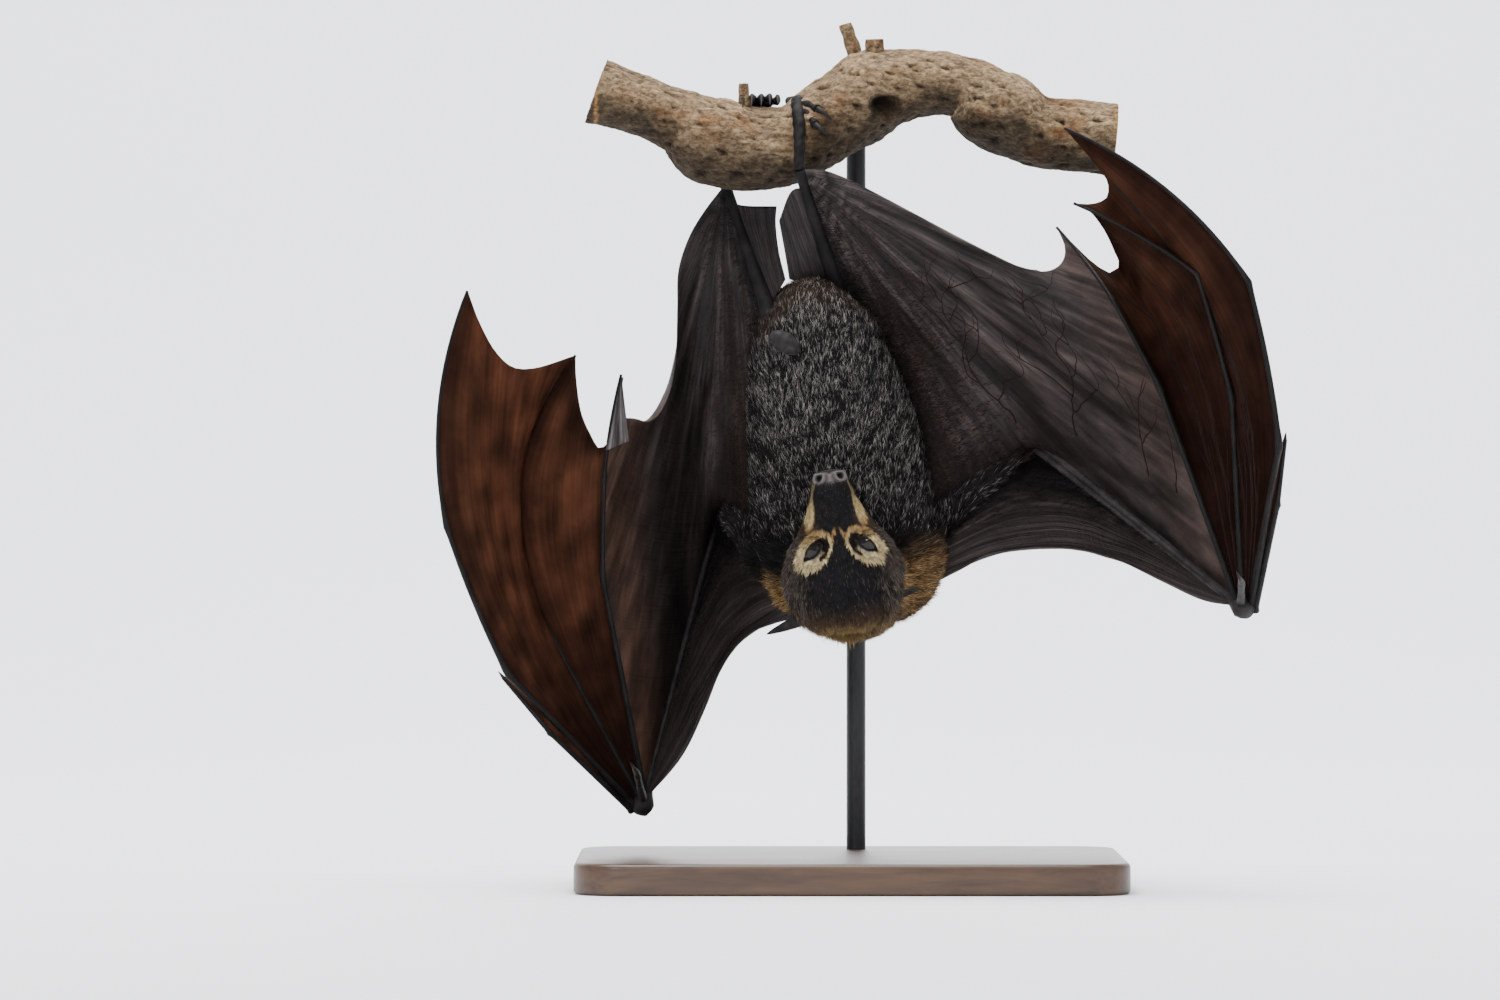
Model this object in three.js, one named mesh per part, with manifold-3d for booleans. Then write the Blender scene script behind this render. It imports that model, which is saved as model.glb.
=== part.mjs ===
// A spectacled flying fox, life-size, hanging by both feet from a cut length of
// branch on a display stand, its wings half open and its head bent up to its chest.
// Units are millimetres, +Z is up. The animal's belly faces -Y. The origin is the
// centre of the underside of the stand's base.
import * as THREE from 'three';
import { mergeVertices } from 'three/addons/utils/BufferGeometryUtils.js';
import Module from 'manifold-3d';

const wasm = await Module();
wasm.setup();

// ---------------------------------------------------------------- driving sizes
const FOREARM = 172;      // the length that every other wing bone is a share of
const GAP = 0.3;          // clearance between neighbouring pieces
const MEMBRANE = 1.0;     // thickness of the wing skin
const ELBOW_AT = 0.35;    // the elbow's place along the arm's edge of the wing skin
const SHARE = {
  humerus: 0.6,
  thumb: [0.25],
  digit2: [0.44, 0.225],
  digit3: [0.675, 0.49, 0.7],
  digit4: [0.7, 0.39, 0.42],
  digit5: [0.725, 0.31, 0.31],
};

// Each wing bone points by two angles in degrees: across, turned from +X towards +Z,
// and forward, out of that plane towards the belly side (-Y).
const WINGS = {
  left: {
    shoulder: [25.5, 12, 167],
    humerus: [41.5, -23],
    forearm: [-40.5, 40],
    thumb: [[100, 72]],
    digit2: [[81.7, 44.5], [86, 33.5]],
    digit3: [[83.7, 44.5], [101.5, 12.5], [139.5, -12]],
    digit4: [[95, 28.5], [107, 19], [149.5, -14.5]],
    digit5: [[111, 19], [117, -20.5], [126, -32]],
    wristRow: [0.95, 0, -0.3],
    outward: 1,
    skinTo: 1,
    webTo: 1,
    root: [[35, 15, 205], [29, 18, 245], [12, 16, 283]],
    neckEnd: [47, -2, 157.5],
    // Free edges: [along the chord between the two ends, off it], in millimetres.
    legEdge: [[11, 2.5], [25, 0.8], [42, -3.5], [60, -8.5], [89, -16.5], [106.5, -21], [121, -24],
      [135.5, -23], [141.5, -17.5], [141.5, -11]],
    tip54: [[-2.5, -11], [-6, -27], [-5, -37.5], [-0.5, -37], [3.5, -31], [10, -16], [12.5, -6.5]],
    tip43: [[-1.5, -9.5], [0.5, -16.5], [7.5, -18], [12.5, -16]],
    neckEdge: [[12, 8], [20, 14], [33, 18], [50.5, 21], [68, 21.5], [87.5, 18], [112, 8.5], [132.5, 1]],
  },
  right: {
    shoulder: [-38, -4, 169],
    humerus: [134, -67],
    forearm: [-104.5, 20.5],
    thumb: [[100, 66]],
    digit2: [[134.6, 39.5], [129.5, 17.5]],
    digit3: [[132.3, 35], [112, 15], [84.5, 9]],
    digit4: [[118, 14], [102, 9], [60.5, 5.5]],
    digit5: [[100.5, 20.5], [89, 12], [80.5, 9.5]],
    wristRow: [-0.8, 0, -0.6],
    outward: -1,
    skinTo: 0.87,
    webTo: 0.8,
    root: [[-47, 12, 205], [-47, 14, 245], [-43, 10, 278]],
    neckEnd: [-28, -2, 137.5],
    legEdge: [[16.5, -3.5], [32, -5], [51, -2.5], [68, 5], [93, 16], [109.5, 20.5],
      [122.5, 20.5], [128, 17.5], [129.5, 10]],
    tip54: [[-1.5, 5], [7, 7], [19, 7.5], [37.5, 3.5]],
    tip43: [[14.5, 16.5], [23.5, 21.5], [34.5, 19.5], [50, 10]],
    neckEdge: [[10, -7], [20.5, -12.5], [32, -14], [46.5, -12], [65.5, -6], [92.5, 0.5]],
    // The folded skin that stands free round the tip of the fifth finger.
    fin: [[-125, -27, 223], [-113, -28.5, 228]],
  },
};

// Legs: hip, knee and ankle, the knuckles over the branch, and where each toe ends.
const LEGS = {
  left: {
    hip: [-9, 2, 276],
    knee: [-5, 12, 303],
    ankle: [-26.3, -26.5, 366],
    foot: [[-26, -25.5, 380], [-26.5, -19, 394]],
    knuckles: [-27, -10, 402.5],
    toes: [[-31, 8, 403], [-26.5, 9.5, 404], [-22, 9, 405], [-17, -20.5, 397.5], [-18, -23.5, 389.5]],
    tips: [[-31.5, 17.5, 395], [-26.5, 19, 394.5], [-21.5, 18, 397], [-9.5, -23, 391.5], [-11.5, -26.5, 383.5]],
    tailRoot: [-31, -2, 311],
    tailEdge: [[-29.5, -21, 356], [-36.5, -8, 341], [-33.5, -4, 325]],
  },
  right: {
    hip: [-33, 2, 276],
    knee: [-41, -7, 291],
    ankle: [-64, 25, 361],
    foot: [[-59, 26.5, 376], [-52, 25, 390]],
    knuckles: [-48, 15, 400.5],
    toes: [[-54.5, 4, 403.5], [-50, 4, 404], [-45.5, 4, 404], [-41.5, 4, 404], [-37.5, 5, 403]],
    tips: [[-55, -8.5, 399], [-50.5, -10, 399.5], [-45.5, -10, 399.5], [-41, -10, 400], [-37, -9, 400.5]],
    tailRoot: [-33, -2, 311],
    tailEdge: [[-54, 16, 349.5], [-37.5, 10, 349], [-38, 9, 341], [-36.5, 4, 326]],
  },
};

const CLAW = { radius: 1.8, apart: 1.3 };

// Trunk from rump to shoulders: [height, centre across, half width, front, back].
const TRUNK = [
  [309, -20, 9, 9, 9], [304, -20, 18, 17, 15], [297, -19.5, 26, 24, 22],
  [286, -17.5, 33, 31, 28], [270, -15, 37.5, 35, 31], [249, -11, 43, 38, 35],
  [224, -7.5, 46.5, 39, 37], [198, -4.5, 48.5, 38, 39], [176, -1, 49, 36, 39],
  [160, 1, 45, 31, 36], [148, 1, 38, 24, 30], [139, 0, 26, 15, 22],
];
const WAIST = 232;        // height of the cut between belly and chest

// Neck from the shoulders round to the back of the head: [x, y, z, radius].
const NECK = [[1, 0, 166, 36], [0, -12, 158, 34], [-1, -26, 155.5, 30.5], [-2, -40, 156.5, 28]];

// Head: [back from the nose, half width, height above and below its axis].
const HEAD = [
  [0, 7.4, 5, 4.5], [4, 9.6, 7, 7], [12, 12, 8.5, 10], [22, 15.5, 10.5, 12], [31, 20.5, 13.5, 15],
  [39, 25.5, 16.5, 17], [49, 30, 20, 19], [58, 30, 21.5, 20], [68, 27, 20.5, 19],
  [76, 20, 16, 15], [82, 9, 8, 8],
];
const NOSE = [-11.5, -73, 212];
const HEAD_TILT = 18;     // nose towards the front
const HEAD_ROLL = 8;      // nose towards the animal's right
const EYE = { back: 36.8, aside: 13.7, up: 9.2, radius: 6.6 };
const MOUTH = { back: 37, below: 2.2, slope: 7 };
const EARS = {
  right: { base: [74, -18, 1], tip: [82.8, -42.3, -6], width: 4.4 },
  left: { base: [70, 21, 1], tip: [71.5, 37.8, -10], width: 4.4 },
};
const SHEATH = { centre: [-33.5, -36, 278], length: 18, width: 11, lean: 148 };

// Branch from end to end: [across, height, radius].
const BRANCH = [
  [-130, 408, 17], [-108, 400.5, 16.5], [-88, 392.5, 16.7], [-75, 384, 21], [-57, 378.5, 21],
  [-41, 378.5, 20.5], [-27, 381.5, 20], [-14, 390, 21], [1, 399.7, 22], [16, 408.5, 20],
  [36, 411.5, 16.5], [58, 410, 16], [71, 400, 21.5], [83, 394, 20.5], [98, 387, 17.5],
  [116, 385, 17.5], [136, 383, 18.5],
];
const TWIGS = [
  { foot: [-54, 0, 396], top: [-54.5, -2, 411.5], radius: 3 },
  { foot: [6, 0, 416], top: [-2.5, -2, 442], radius: 4 },
  { foot: [13, -2, 420], top: [12.5, -3, 434], radius: 5.5 },
];

// Display stand.
const BASE = { width: 280, depth: 210, height: 16, corner: 24, bevel: 2.5 };
const ROD = { x: 4, y: 66, radius: 5, top: 411, socket: 10 };
const ARM = { height: 402, radius: 4, inPerch: 10, perchBack: 20 };

// ---------------------------------------------------------------- finishes
const FINISH = {
  fur: { color: 0x1c1a19, roughness: 0.95 },
  mantle: { color: 0x8a5c26, roughness: 0.95 },
  bareSkin: { color: 0x1d1a1a, roughness: 0.55 },
  wingSkin: { color: 0x2c2220, roughness: 0.5 },
  handSkin: { color: 0x5a2a18, roughness: 0.5 },
  claw: { color: 0x14110f, roughness: 0.35 },
  eye: { color: 0x1a0d06, roughness: 0.1 },
  bark: { color: 0x8c7556, roughness: 0.9 },
  wood: { color: 0x3a2417, roughness: 0.4 },
  steel: { color: 0x151617, roughness: 0.45, metalness: 0.6 },
};

// ---------------------------------------------------------------- geometry tools
const { lerp, clamp, degToRad } = THREE.MathUtils;
const vec = (xyz) => new THREE.Vector3(...xyz);

/** The far end of a bone that starts at a point and points by two angles. */
function reach(start, length, [across, forward]) {
  const flat = length * Math.cos(degToRad(forward));
  return new THREE.Vector3(
    start.x + flat * Math.cos(degToRad(across)),
    start.y - length * Math.sin(degToRad(forward)),
    start.z + flat * Math.sin(degToRad(across)),
  );
}

/** A smooth reading, at t from 0 to 1, of a list of equally spaced rows of numbers. */
function readRows(rows, t) {
  const place = clamp(t, 0, 1) * (rows.length - 1);
  const i = Math.min(Math.floor(place), rows.length - 2);
  const f = place - i;
  const row = (k) => rows[clamp(k, 0, rows.length - 1)];
  return rows[0].map((_, n) => {
    const [a, b, c, d] = [row(i - 1)[n], row(i)[n], row(i + 1)[n], row(i + 2)[n]];
    return b + 0.5 * f * (c - a + f * (2 * a - 5 * b + 4 * c - d + f * (3 * (b - c) + d - a)));
  });
}

/** Moves each vertex of a geometry by a function and returns the geometry. */
function shaped(geometry, move) {
  const position = geometry.attributes.position;
  const point = new THREE.Vector3();
  for (let i = 0; i < position.count; i += 1) {
    const moved = move(point.fromBufferAttribute(position, i));
    position.setXYZ(i, moved.x, moved.y, moved.z);
  }
  return geometry;
}

/** Turns a closed geometry into a solid whose faces point out. */
function toSolid(geometry) {
  geometry.deleteAttribute('normal');
  geometry.deleteAttribute('uv');
  const merged = mergeVertices(geometry, 1e-4);
  const p = merged.attributes.position.array;
  const kept = [];
  let volume = 0;
  for (let i = 0; i < merged.index.count; i += 3) {
    const [a, b, c] = [0, 1, 2].map((k) => merged.index.array[i + k]);
    if (a === b || b === c || c === a) continue;
    kept.push([a, b, c]);
    const [u, v, w] = [a, b, c].map((k) => new THREE.Vector3(p[3 * k], p[3 * k + 1], p[3 * k + 2]));
    volume += u.dot(v.cross(w));
  }
  const triVerts = new Uint32Array(kept.flatMap(([a, b, c]) => (volume > 0 ? [a, b, c] : [a, c, b])));
  return new wasm.Manifold(new wasm.Mesh({ numProp: 3, vertProperties: new Float32Array(p), triVerts }));
}

/** A closed form of rings: place(t, cos, sin) gives a ring's points, and its middle at 0, 0. */
function loft(rings, around, place) {
  const rows = rings + 1;
  return toSolid(shaped(new THREE.SphereGeometry(1, around, rows), (p) => {
    const row = Math.round((Math.acos(clamp(p.y, -1, 1)) / Math.PI) * rows);
    const t = clamp((row - 1) / (rings - 1), 0, 1);
    if (row === 0 || row === rows) return place(t, 0, 0);
    const size = Math.hypot(p.x, p.z);
    return place(t, p.x / size, p.z / size);
  }));
}

/** A round bar along path(t), of radius(t), with a ring at each of the stops. */
function bar(path, radius, stops, around) {
  const last = stops.length - 1;
  const side = new THREE.Vector3();
  const frames = stops.map((stop, i) => {
    const ahead = path(Math.min(stop + 0.01, 1)).sub(path(Math.max(stop - 0.01, 0))).normalize();
    if (i === 0) side.set(0, 1, 0).cross(ahead);
    if (side.length() < 0.2) side.set(1, 0, 0);
    side.addScaledVector(ahead, -side.dot(ahead)).normalize();
    return { side: side.clone(), up: ahead.clone().cross(side) };
  });
  return loft(stops.length, around, (t, cos, sin) => {
    const i = Math.round(t * last);
    const r = radius(stops[i]);
    const { side: across, up } = frames[i];
    return path(stops[i]).addScaledVector(across, cos * r).addScaledVector(up, sin * r);
  });
}

/** A limb: a bar that can be grown, and that tells how far outside it a point is. */
function limb(path, radius, stops, around) {
  const samples = stops.map((t) => [path(t), radius(t)]);
  const link = new THREE.Line3();
  const nearest = new THREE.Vector3();
  const outside = (point) => Math.min(...samples.slice(1).map(([end, endRadius], i) => {
    const [start, startRadius] = samples[i];
    const along = link.set(start, end).closestPointToPointParameter(point, true);
    link.at(along, nearest);
    return nearest.distanceTo(point) - lerp(startRadius, endRadius, along);
  }));
  return { path, outside, form: (grow) => bar(path, (t) => radius(t) + grow, stops, around) };
}

/** The straight path between two points. */
const straight = (from, to) => (t) => from.clone().lerp(to, clamp(t, 0, 1));

/** Evenly spaced stops from 0 to 1. */
const evenStops = (count) => Array.from({ length: count }, (_, i) => i / (count - 1));

/** A path through points, read from 0 to 1 by length. */
function smoothPath(points) {
  const curve = new THREE.CatmullRomCurve3(points, false, 'centripetal');
  return (t) => curve.getPointAt(clamp(t, 0, 1));
}

/** The first value from one number towards another where a test holds. */
function firstClear(from, to, test) {
  const tries = 60;
  for (let i = 0; i <= tries; i += 1) {
    const value = lerp(from, to, i / tries);
    if (test(value)) return value;
  }
  return to;
}

/** Keeps a surface clear of the limbs at its start and finish in u and at its head in v. */
function trimBetween(surface, { start = [], finish = [], head = [], from = 0 }) {
  const room = MEMBRANE / 2 + GAP;
  const clear = (limbs, u, v) => limbs.every((one) => one.outside(surface(u, v)) > room);
  return (s, t) => {
    const inner = clamp(s, 0.04, 0.96);
    const firstV = head.length ? firstClear(0, 0.6, (v) => clear(head, inner, v)) : from;
    const v = lerp(firstV, 1, t);
    const firstU = firstClear(0, 0.45, (u) => clear(start, u, v));
    const lastU = firstClear(1, 0.55, (u) => clear(finish, u, v));
    return [lerp(firstU, lastU, s), v];
  };
}

/** A thin closed sheet of a trimmed surface, with its thickness halved on each side. */
function sheet({ surface, trim, columns, rows }, thickness) {
  const last = rows.length - 1;
  const middle = rows.map((row) => evenStops(columns + 1).map((s) => surface(...trim(s, row))));
  const facing = (i, j) => {
    const [before, after] = [middle[i][Math.max(j - 1, 0)], middle[i][Math.min(j + 1, columns)]];
    const [under, over] = [middle[Math.max(i - 1, 0)][j], middle[Math.min(i + 1, last)][j]];
    return after.clone().sub(before).cross(over.clone().sub(under)).normalize();
  };
  const walls = [0.5, -0.5].map((half) => middle.flatMap((row, i) => row.map((point, j) => (
    point.clone().addScaledVector(facing(i, j), half * thickness)))));
  const top = (i, j) => i * (columns + 1) + j;
  const under = (i, j) => walls[0].length + top(i, j);
  // Both walls are cut along the same diagonals, so that they can't cross on a twisted cell.
  const index = [];
  for (let i = 0; i < last; i += 1) {
    for (let j = 0; j < columns; j += 1) {
      index.push(top(i, j), top(i, j + 1), top(i + 1, j + 1), top(i, j), top(i + 1, j + 1), top(i + 1, j));
      index.push(under(i, j), under(i + 1, j + 1), under(i, j + 1), under(i, j), under(i + 1, j), under(i + 1, j + 1));
    }
  }
  const rim = [];
  for (let j = 0; j < columns; j += 1) rim.push([[0, j + 1], [0, j]], [[last, j], [last, j + 1]]);
  for (let i = 0; i < last; i += 1) rim.push([[i, 0], [i + 1, 0]], [[i + 1, columns], [i, columns]]);
  for (const [a, b] of rim) {
    index.push(top(...a), top(...b), under(...b), top(...a), under(...b), under(...a));
  }
  const geometry = new THREE.BufferGeometry().setFromPoints(walls.flat());
  return toSolid(geometry.setIndex(index));
}

/** The surface between four edges: two sides run with v, and two ends run with u. */
function patch(sideA, sideB, endA, endB) {
  const corner = (u, v) => sideA(v).lerp(sideB(v), u);
  return (u, v) => {
    const across = corner(u, v);
    const along = endA(u).lerp(endB(u), v);
    const corners = corner(u, 0).lerp(corner(u, 1), v);
    return across.add(along).sub(corners);
  };
}

/** The same surface, swollen towards +Y by up to a height in its middle. */
const billowed = (surface, height) => (u, v) => {
  const p = surface(u, v);
  p.y += height * Math.sin(Math.PI * clamp(u, 0, 1)) * Math.sin(Math.PI * clamp(v, 0, 1));
  return p;
};

/** A free edge from one point to another, bent by offsets from the chord between them. */
function freeEdge(from, to, offsets) {
  const chord = new THREE.Vector3(to.x - from.x, 0, to.z - from.z);
  const length = chord.length();
  const along = chord.clone().normalize();
  const off = new THREE.Vector3(-along.z, 0, along.x);
  const bent = offsets.map(([a, o]) => {
    const p = from.clone().addScaledVector(along, a).addScaledVector(off, o);
    p.y = lerp(from.y, to.y, clamp(a / length, 0, 1));
    return p;
  });
  return smoothPath([from, ...bent, to]);
}

/** A box between two corners. */
function block([x0, y0, z0], [x1, y1, z1]) {
  const box = new THREE.BoxGeometry(x1 - x0, y1 - y0, z1 - z0);
  return toSolid(box.translate((x0 + x1) / 2, (y0 + y1) / 2, (z0 + z1) / 2));
}

// ---------------------------------------------------------------- placing the pieces
const model = new THREE.Group();
const placed = [];        // the grown form of each piece that later pieces keep clear of

const boxesMeet = (a, b) => [0, 1, 2].every((k) => a.min[k] < b.max[k] && b.min[k] < a.max[k]);

/** The largest of a solid's separate bodies. */
function mainBody(solid) {
  const bodies = solid.decompose().sort((a, b) => b.volume() - a.volume());
  return bodies[0];
}

/** Adds a piece: make(0) is its form, cut by every earlier piece, and make(GAP) its clearance. */
function place(name, finish, make) {
  let solid = make(0);
  const bounds = solid.boundingBox();
  for (const other of placed) {
    if (boxesMeet(bounds, other.bounds)) solid = solid.subtract(other.grown);
  }
  const mesh = mainBody(solid).getMesh();
  const geometry = new THREE.BufferGeometry();
  geometry.setAttribute('position', new THREE.BufferAttribute(new Float32Array(mesh.vertProperties), 3));
  geometry.setIndex(new THREE.BufferAttribute(new Uint32Array(mesh.triVerts), 1));
  geometry.computeVertexNormals();
  const piece = new THREE.Mesh(geometry, new THREE.MeshStandardMaterial(FINISH[finish]));
  piece.name = name;
  model.add(piece);
  const grown = make(GAP);
  placed.push({ grown, bounds: grown.boundingBox() });
}

// ---------------------------------------------------------------- branch and stand
/** The middle of the branch at a distance across. */
function branchMiddle(across) {
  const beyond = clamp(BRANCH.findIndex(([x]) => x > across), 1, BRANCH.length - 1);
  const [[x0, z0], [x1, z1]] = [BRANCH[beyond - 1], BRANCH[beyond]];
  return new THREE.Vector3(across, 0, lerp(z0, z1, (across - x0) / (x1 - x0)));
}

function branchForm(grow) {
  const form = loft(24, 9, (t, cos, sin) => {
    const [x, z, radius] = readRows(BRANCH, t);
    const [x1, z1] = readRows(BRANCH, Math.min(t + 0.01, 1));
    const [x0, z0] = readRows(BRANCH, Math.max(t - 0.01, 0));
    const length = Math.hypot(x1 - x0, z1 - z0);
    const knobbly = 1 + 0.05 * Math.sin(19 * t + 2 * Math.atan2(sin, cos));
    const r = radius * knobbly + grow;
    return new THREE.Vector3(x - (sin * r * (z1 - z0)) / length, cos * r, z + (sin * r * (x1 - x0)) / length);
  });
  return TWIGS.reduce((sum, twig) => {
    const [foot, top] = [vec(twig.foot), vec(twig.top)];
    const path = (t) => foot.clone().lerp(top, t);
    return sum.add(bar(path, (t) => twig.radius * (1.15 - 0.35 * t) + grow, evenStops(2), 6));
  }, form);
}

function armForm(grow) {
  const [back, front] = [ROD.y, ARM.perchBack - ARM.inPerch];
  const cylinder = new THREE.CylinderGeometry(ARM.radius + grow, ARM.radius + grow, back - front + grow, 16);
  return toSolid(cylinder.translate(ROD.x, (back + front - grow) / 2, ARM.height));
}

function rodForm(grow) {
  const foot = BASE.height - ROD.socket;
  const height = ROD.top - foot;
  const cylinder = new THREE.CylinderGeometry(ROD.radius + grow, ROD.radius + grow, height + 2 * grow, 20);
  cylinder.rotateX(Math.PI / 2);
  return toSolid(cylinder.translate(ROD.x, ROD.y, foot + height / 2));
}

function baseForm() {
  const { width, depth, height, corner, bevel } = BASE;
  const [w, d] = [width / 2 - bevel, depth / 2 - bevel];
  const outline = new THREE.Shape();
  outline.moveTo(-w + corner, -d);
  outline.lineTo(w - corner, -d);
  outline.absarc(w - corner, -d + corner, corner, -Math.PI / 2, 0);
  outline.lineTo(w, d - corner);
  outline.absarc(w - corner, d - corner, corner, 0, Math.PI / 2);
  outline.lineTo(-w + corner, d);
  outline.absarc(-w + corner, d - corner, corner, Math.PI / 2, Math.PI);
  outline.lineTo(-w, -d + corner);
  outline.absarc(-w + corner, -d + corner, corner, Math.PI, 1.5 * Math.PI);
  const plate = new THREE.ExtrudeGeometry(outline, {
    depth: height - 2 * bevel, bevelEnabled: true, bevelThickness: bevel, bevelSize: bevel,
    bevelSegments: 1, curveSegments: 3,
  });
  return toSolid(plate.translate(0, 0, bevel));
}

// ---------------------------------------------------------------- body
function trunkForm(grow) {
  return loft(12, 16, (t, cos, sin) => {
    const [z, x, half, front, back] = readRows(TRUNK, t);
    const deep = (sin > 0 ? front : back) + grow;
    const end = t === 0 ? grow : t === 1 ? -grow : 0;
    return new THREE.Vector3(x + cos * (half + grow), 2 - sin * deep, z + end);
  });
}

const ABOVE_WAIST = (grow) => block([-120, -120, WAIST - grow], [120, 120, 340]);

function neckForm(grow) {
  const path = smoothPath(NECK.map(([x, y, z]) => new THREE.Vector3(x, y, z)));
  return bar(path, (t) => readRows(NECK, t)[3] + grow, evenStops(5), 14);
}

const HEAD_TURN = new THREE.Matrix4()
  .makeRotationY(degToRad(-HEAD_ROLL))
  .multiply(new THREE.Matrix4().makeRotationX(degToRad(HEAD_TILT)));

/** A point of the head: back from the nose, to its left side, and up from its axis. */
function headPoint([back, aside, up]) {
  return new THREE.Vector3(aside, -up, -back).applyMatrix4(HEAD_TURN).add(vec(NOSE));
}

function headForm(grow) {
  return loft(13, 14, (t, cos, sin) => {
    const [back, half, above, below] = readRows(HEAD, t);
    const tall = (sin > 0 ? above : below) + grow;
    const end = t === 0 ? -grow : t === 1 ? grow : 0;
    return headPoint([back + end, cos * (half + grow), sin * tall]);
  });
}

/** The half of the head under the mouth line, as far back as the mouth's corner. */
function underMouth(grow) {
  const rise = Math.tan(degToRad(MOUTH.slope));
  return toSolid(shaped(new THREE.BoxGeometry(1, 1, 1), (p) => {
    const back = p.x > 0 ? MOUTH.back + grow : -6;
    const lip = -MOUTH.below - back * rise + grow;
    return headPoint([back, p.y * 80, p.z > 0 ? lip : -40]);
  }));
}

function eyeForm(side, grow) {
  const eye = new THREE.SphereGeometry(EYE.radius + grow, 12, 7);
  const centre = headPoint([EYE.back, side * EYE.aside, EYE.up]);
  return toSolid(eye.translate(centre.x, centre.y, centre.z));
}

function earForm({ base, tip, width }, grow) {
  const [foot, end] = [headPoint(base), headPoint(tip)];
  const ahead = end.clone().sub(foot).normalize();
  const across = headPoint([1, 0, 0]).sub(headPoint([0, 0, 0])).cross(ahead).normalize();
  const broad = ahead.clone().cross(across).normalize();
  return loft(5, 8, (t, cos, sin) => {
    const half = width * (1 - t) ** 0.8 * (1 + 0.5 * t) + 0.4 + grow;
    const cup = 2.2 * (cos * cos - 0.5) * (1 - t);
    const thick = 1.3 - 0.6 * t + grow;
    return foot.clone().lerp(end, t)
      .addScaledVector(broad, cos * half)
      .addScaledVector(across, sin * thick + cup);
  });
}

function sheathForm(grow) {
  const { length, width, lean } = SHEATH;
  const pod = new THREE.SphereGeometry(1, 10, 6);
  pod.scale(length / 2 + grow, width / 2 + grow, width / 2 + grow);
  pod.rotateY(degToRad(-lean));
  return toSolid(pod.translate(...SHEATH.centre));
}

// ---------------------------------------------------------------- legs
function thighForm({ hip, knee }, grow) {
  const [top, foot] = [vec(hip), vec(knee)];
  return bar((t) => top.clone().lerp(foot, t), (t) => 14.5 - 5 * t + grow, evenStops(3), 10);
}

function shinLimb({ knee, ankle }) {
  const thick = (t) => 3.4 + 2.6 * (1 - t) ** 2 + (t > 0.95 ? 0.6 : 0);
  return limb(straight(vec(knee), vec(ankle)), thick, [0, 0.2, 0.45, 0.9, 1], 8);
}

function footForm({ ankle, foot, knuckles, toes }, grow) {
  const sole = smoothPath([vec(ankle), ...foot.map(vec), vec(knuckles)]);
  const instep = bar(sole, (t) => 4 + 2.2 * t + grow, evenStops(4), 6);
  return toes.reduce((sum, toe) => {
    const path = (t) => vec(knuckles).lerp(vec(toe), t);
    return sum.add(bar(path, (t) => 2.9 - 0.7 * t + grow, evenStops(2), 4));
  }, instep);
}

/** A hooked claw from a toe's end to its tip, bent away from a point under its hook. */
function clawForm(from, to, hook, radius, grow) {
  const middle = from.clone().lerp(to, 0.45);
  middle.add(middle.clone().sub(hook).setLength(from.distanceTo(to) * 0.28));
  const path = smoothPath([from, middle, to]);
  return bar(path, (t) => radius * (1 - 0.82 * t) + grow, evenStops(3), 5);
}

// ---------------------------------------------------------------- wings
/** The joints of a wing: shoulder, elbow, wrist and each finger's knuckles. */
function wingJoints(wing) {
  const shoulder = vec(wing.shoulder);
  const elbow = reach(shoulder, FOREARM * SHARE.humerus, wing.humerus);
  const wrist = reach(elbow, FOREARM, wing.forearm);
  const joints = { shoulder, elbow, wrist };
  for (const digit of [...Object.keys(FINGERS), 'thumb']) {
    const aside = FINGERS[digit] ? FINGERS[digit].base : 0;
    joints[digit] = [wrist.clone().addScaledVector(vec(wing.wristRow), aside)];
    SHARE[digit].forEach((share, i) => {
      joints[digit].push(reach(joints[digit][i], FOREARM * share, wing[digit][i]));
    });
  }
  return joints;
}

// Every finger has its joints at the same places along its line, so creases can follow them.
const JOINTS_AT = { 2: [0, 0.62, 1], 3: [0, 0.45, 0.7, 1] };
const FINGERS = {
  digit3: { thick: 2.2, tip: 0.8, bow: 0.075, base: 5 },
  digit5: { thick: 2, tip: 0.8, bow: 0.02, base: -1.5 },
  digit4: { thick: 2, tip: 0.8, bow: 0.03, base: 1 },
  digit2: { thick: 1.7, tip: 1.1, bow: 0, base: 7.5 },
};
const FINGER_STOPS = [0, 0.04, 0.41, 0.45, 0.49, 0.67, 0.7, 0.74, 0.83, 0.92, 1];
const WEB_ROWS = [0, 0.14, 0.28, 0.41, 0.53, 0.65, 0.74, 0.83, 0.92, 1];

/** A finger as a limb: swollen at its joints, its last bone bowed outwards. */
function fingerLimb(knuckles, { thick, tip, bow }, outward) {
  const joints = JOINTS_AT[knuckles.length - 1];
  const path = (t) => {
    const i = Math.max(0, joints.findIndex((joint) => joint >= clamp(t, 1e-6, 1)) - 1);
    const part = (clamp(t, 0, 1) - joints[i]) / (joints[i + 1] - joints[i]);
    const point = knuckles[i].clone().lerp(knuckles[i + 1], part);
    if (i === 0) return point;
    const chord = knuckles[i + 1].clone().sub(knuckles[i]);
    const bend = i < joints.length - 2 ? bow / 4 : bow;
    const swing = 4 * bend * part * (1 - part) * outward;
    return point.add(new THREE.Vector3(chord.z, 0, -chord.x).multiplyScalar(swing));
  };
  const radius = (t) => {
    const near = Math.min(...joints.slice(0, -1).map((joint) => Math.abs(t - joint)));
    return lerp(thick, tip, t) + (near < 0.01 ? 0.7 * (1 - 0.4 * t) : 0);
  };
  return limb(path, radius, FINGER_STOPS, 5);
}

function upperArmLimb({ shoulder, elbow }) {
  return limb(straight(shoulder, elbow), (t) => 12.5 - 6.5 * t, evenStops(5), 9);
}

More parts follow.
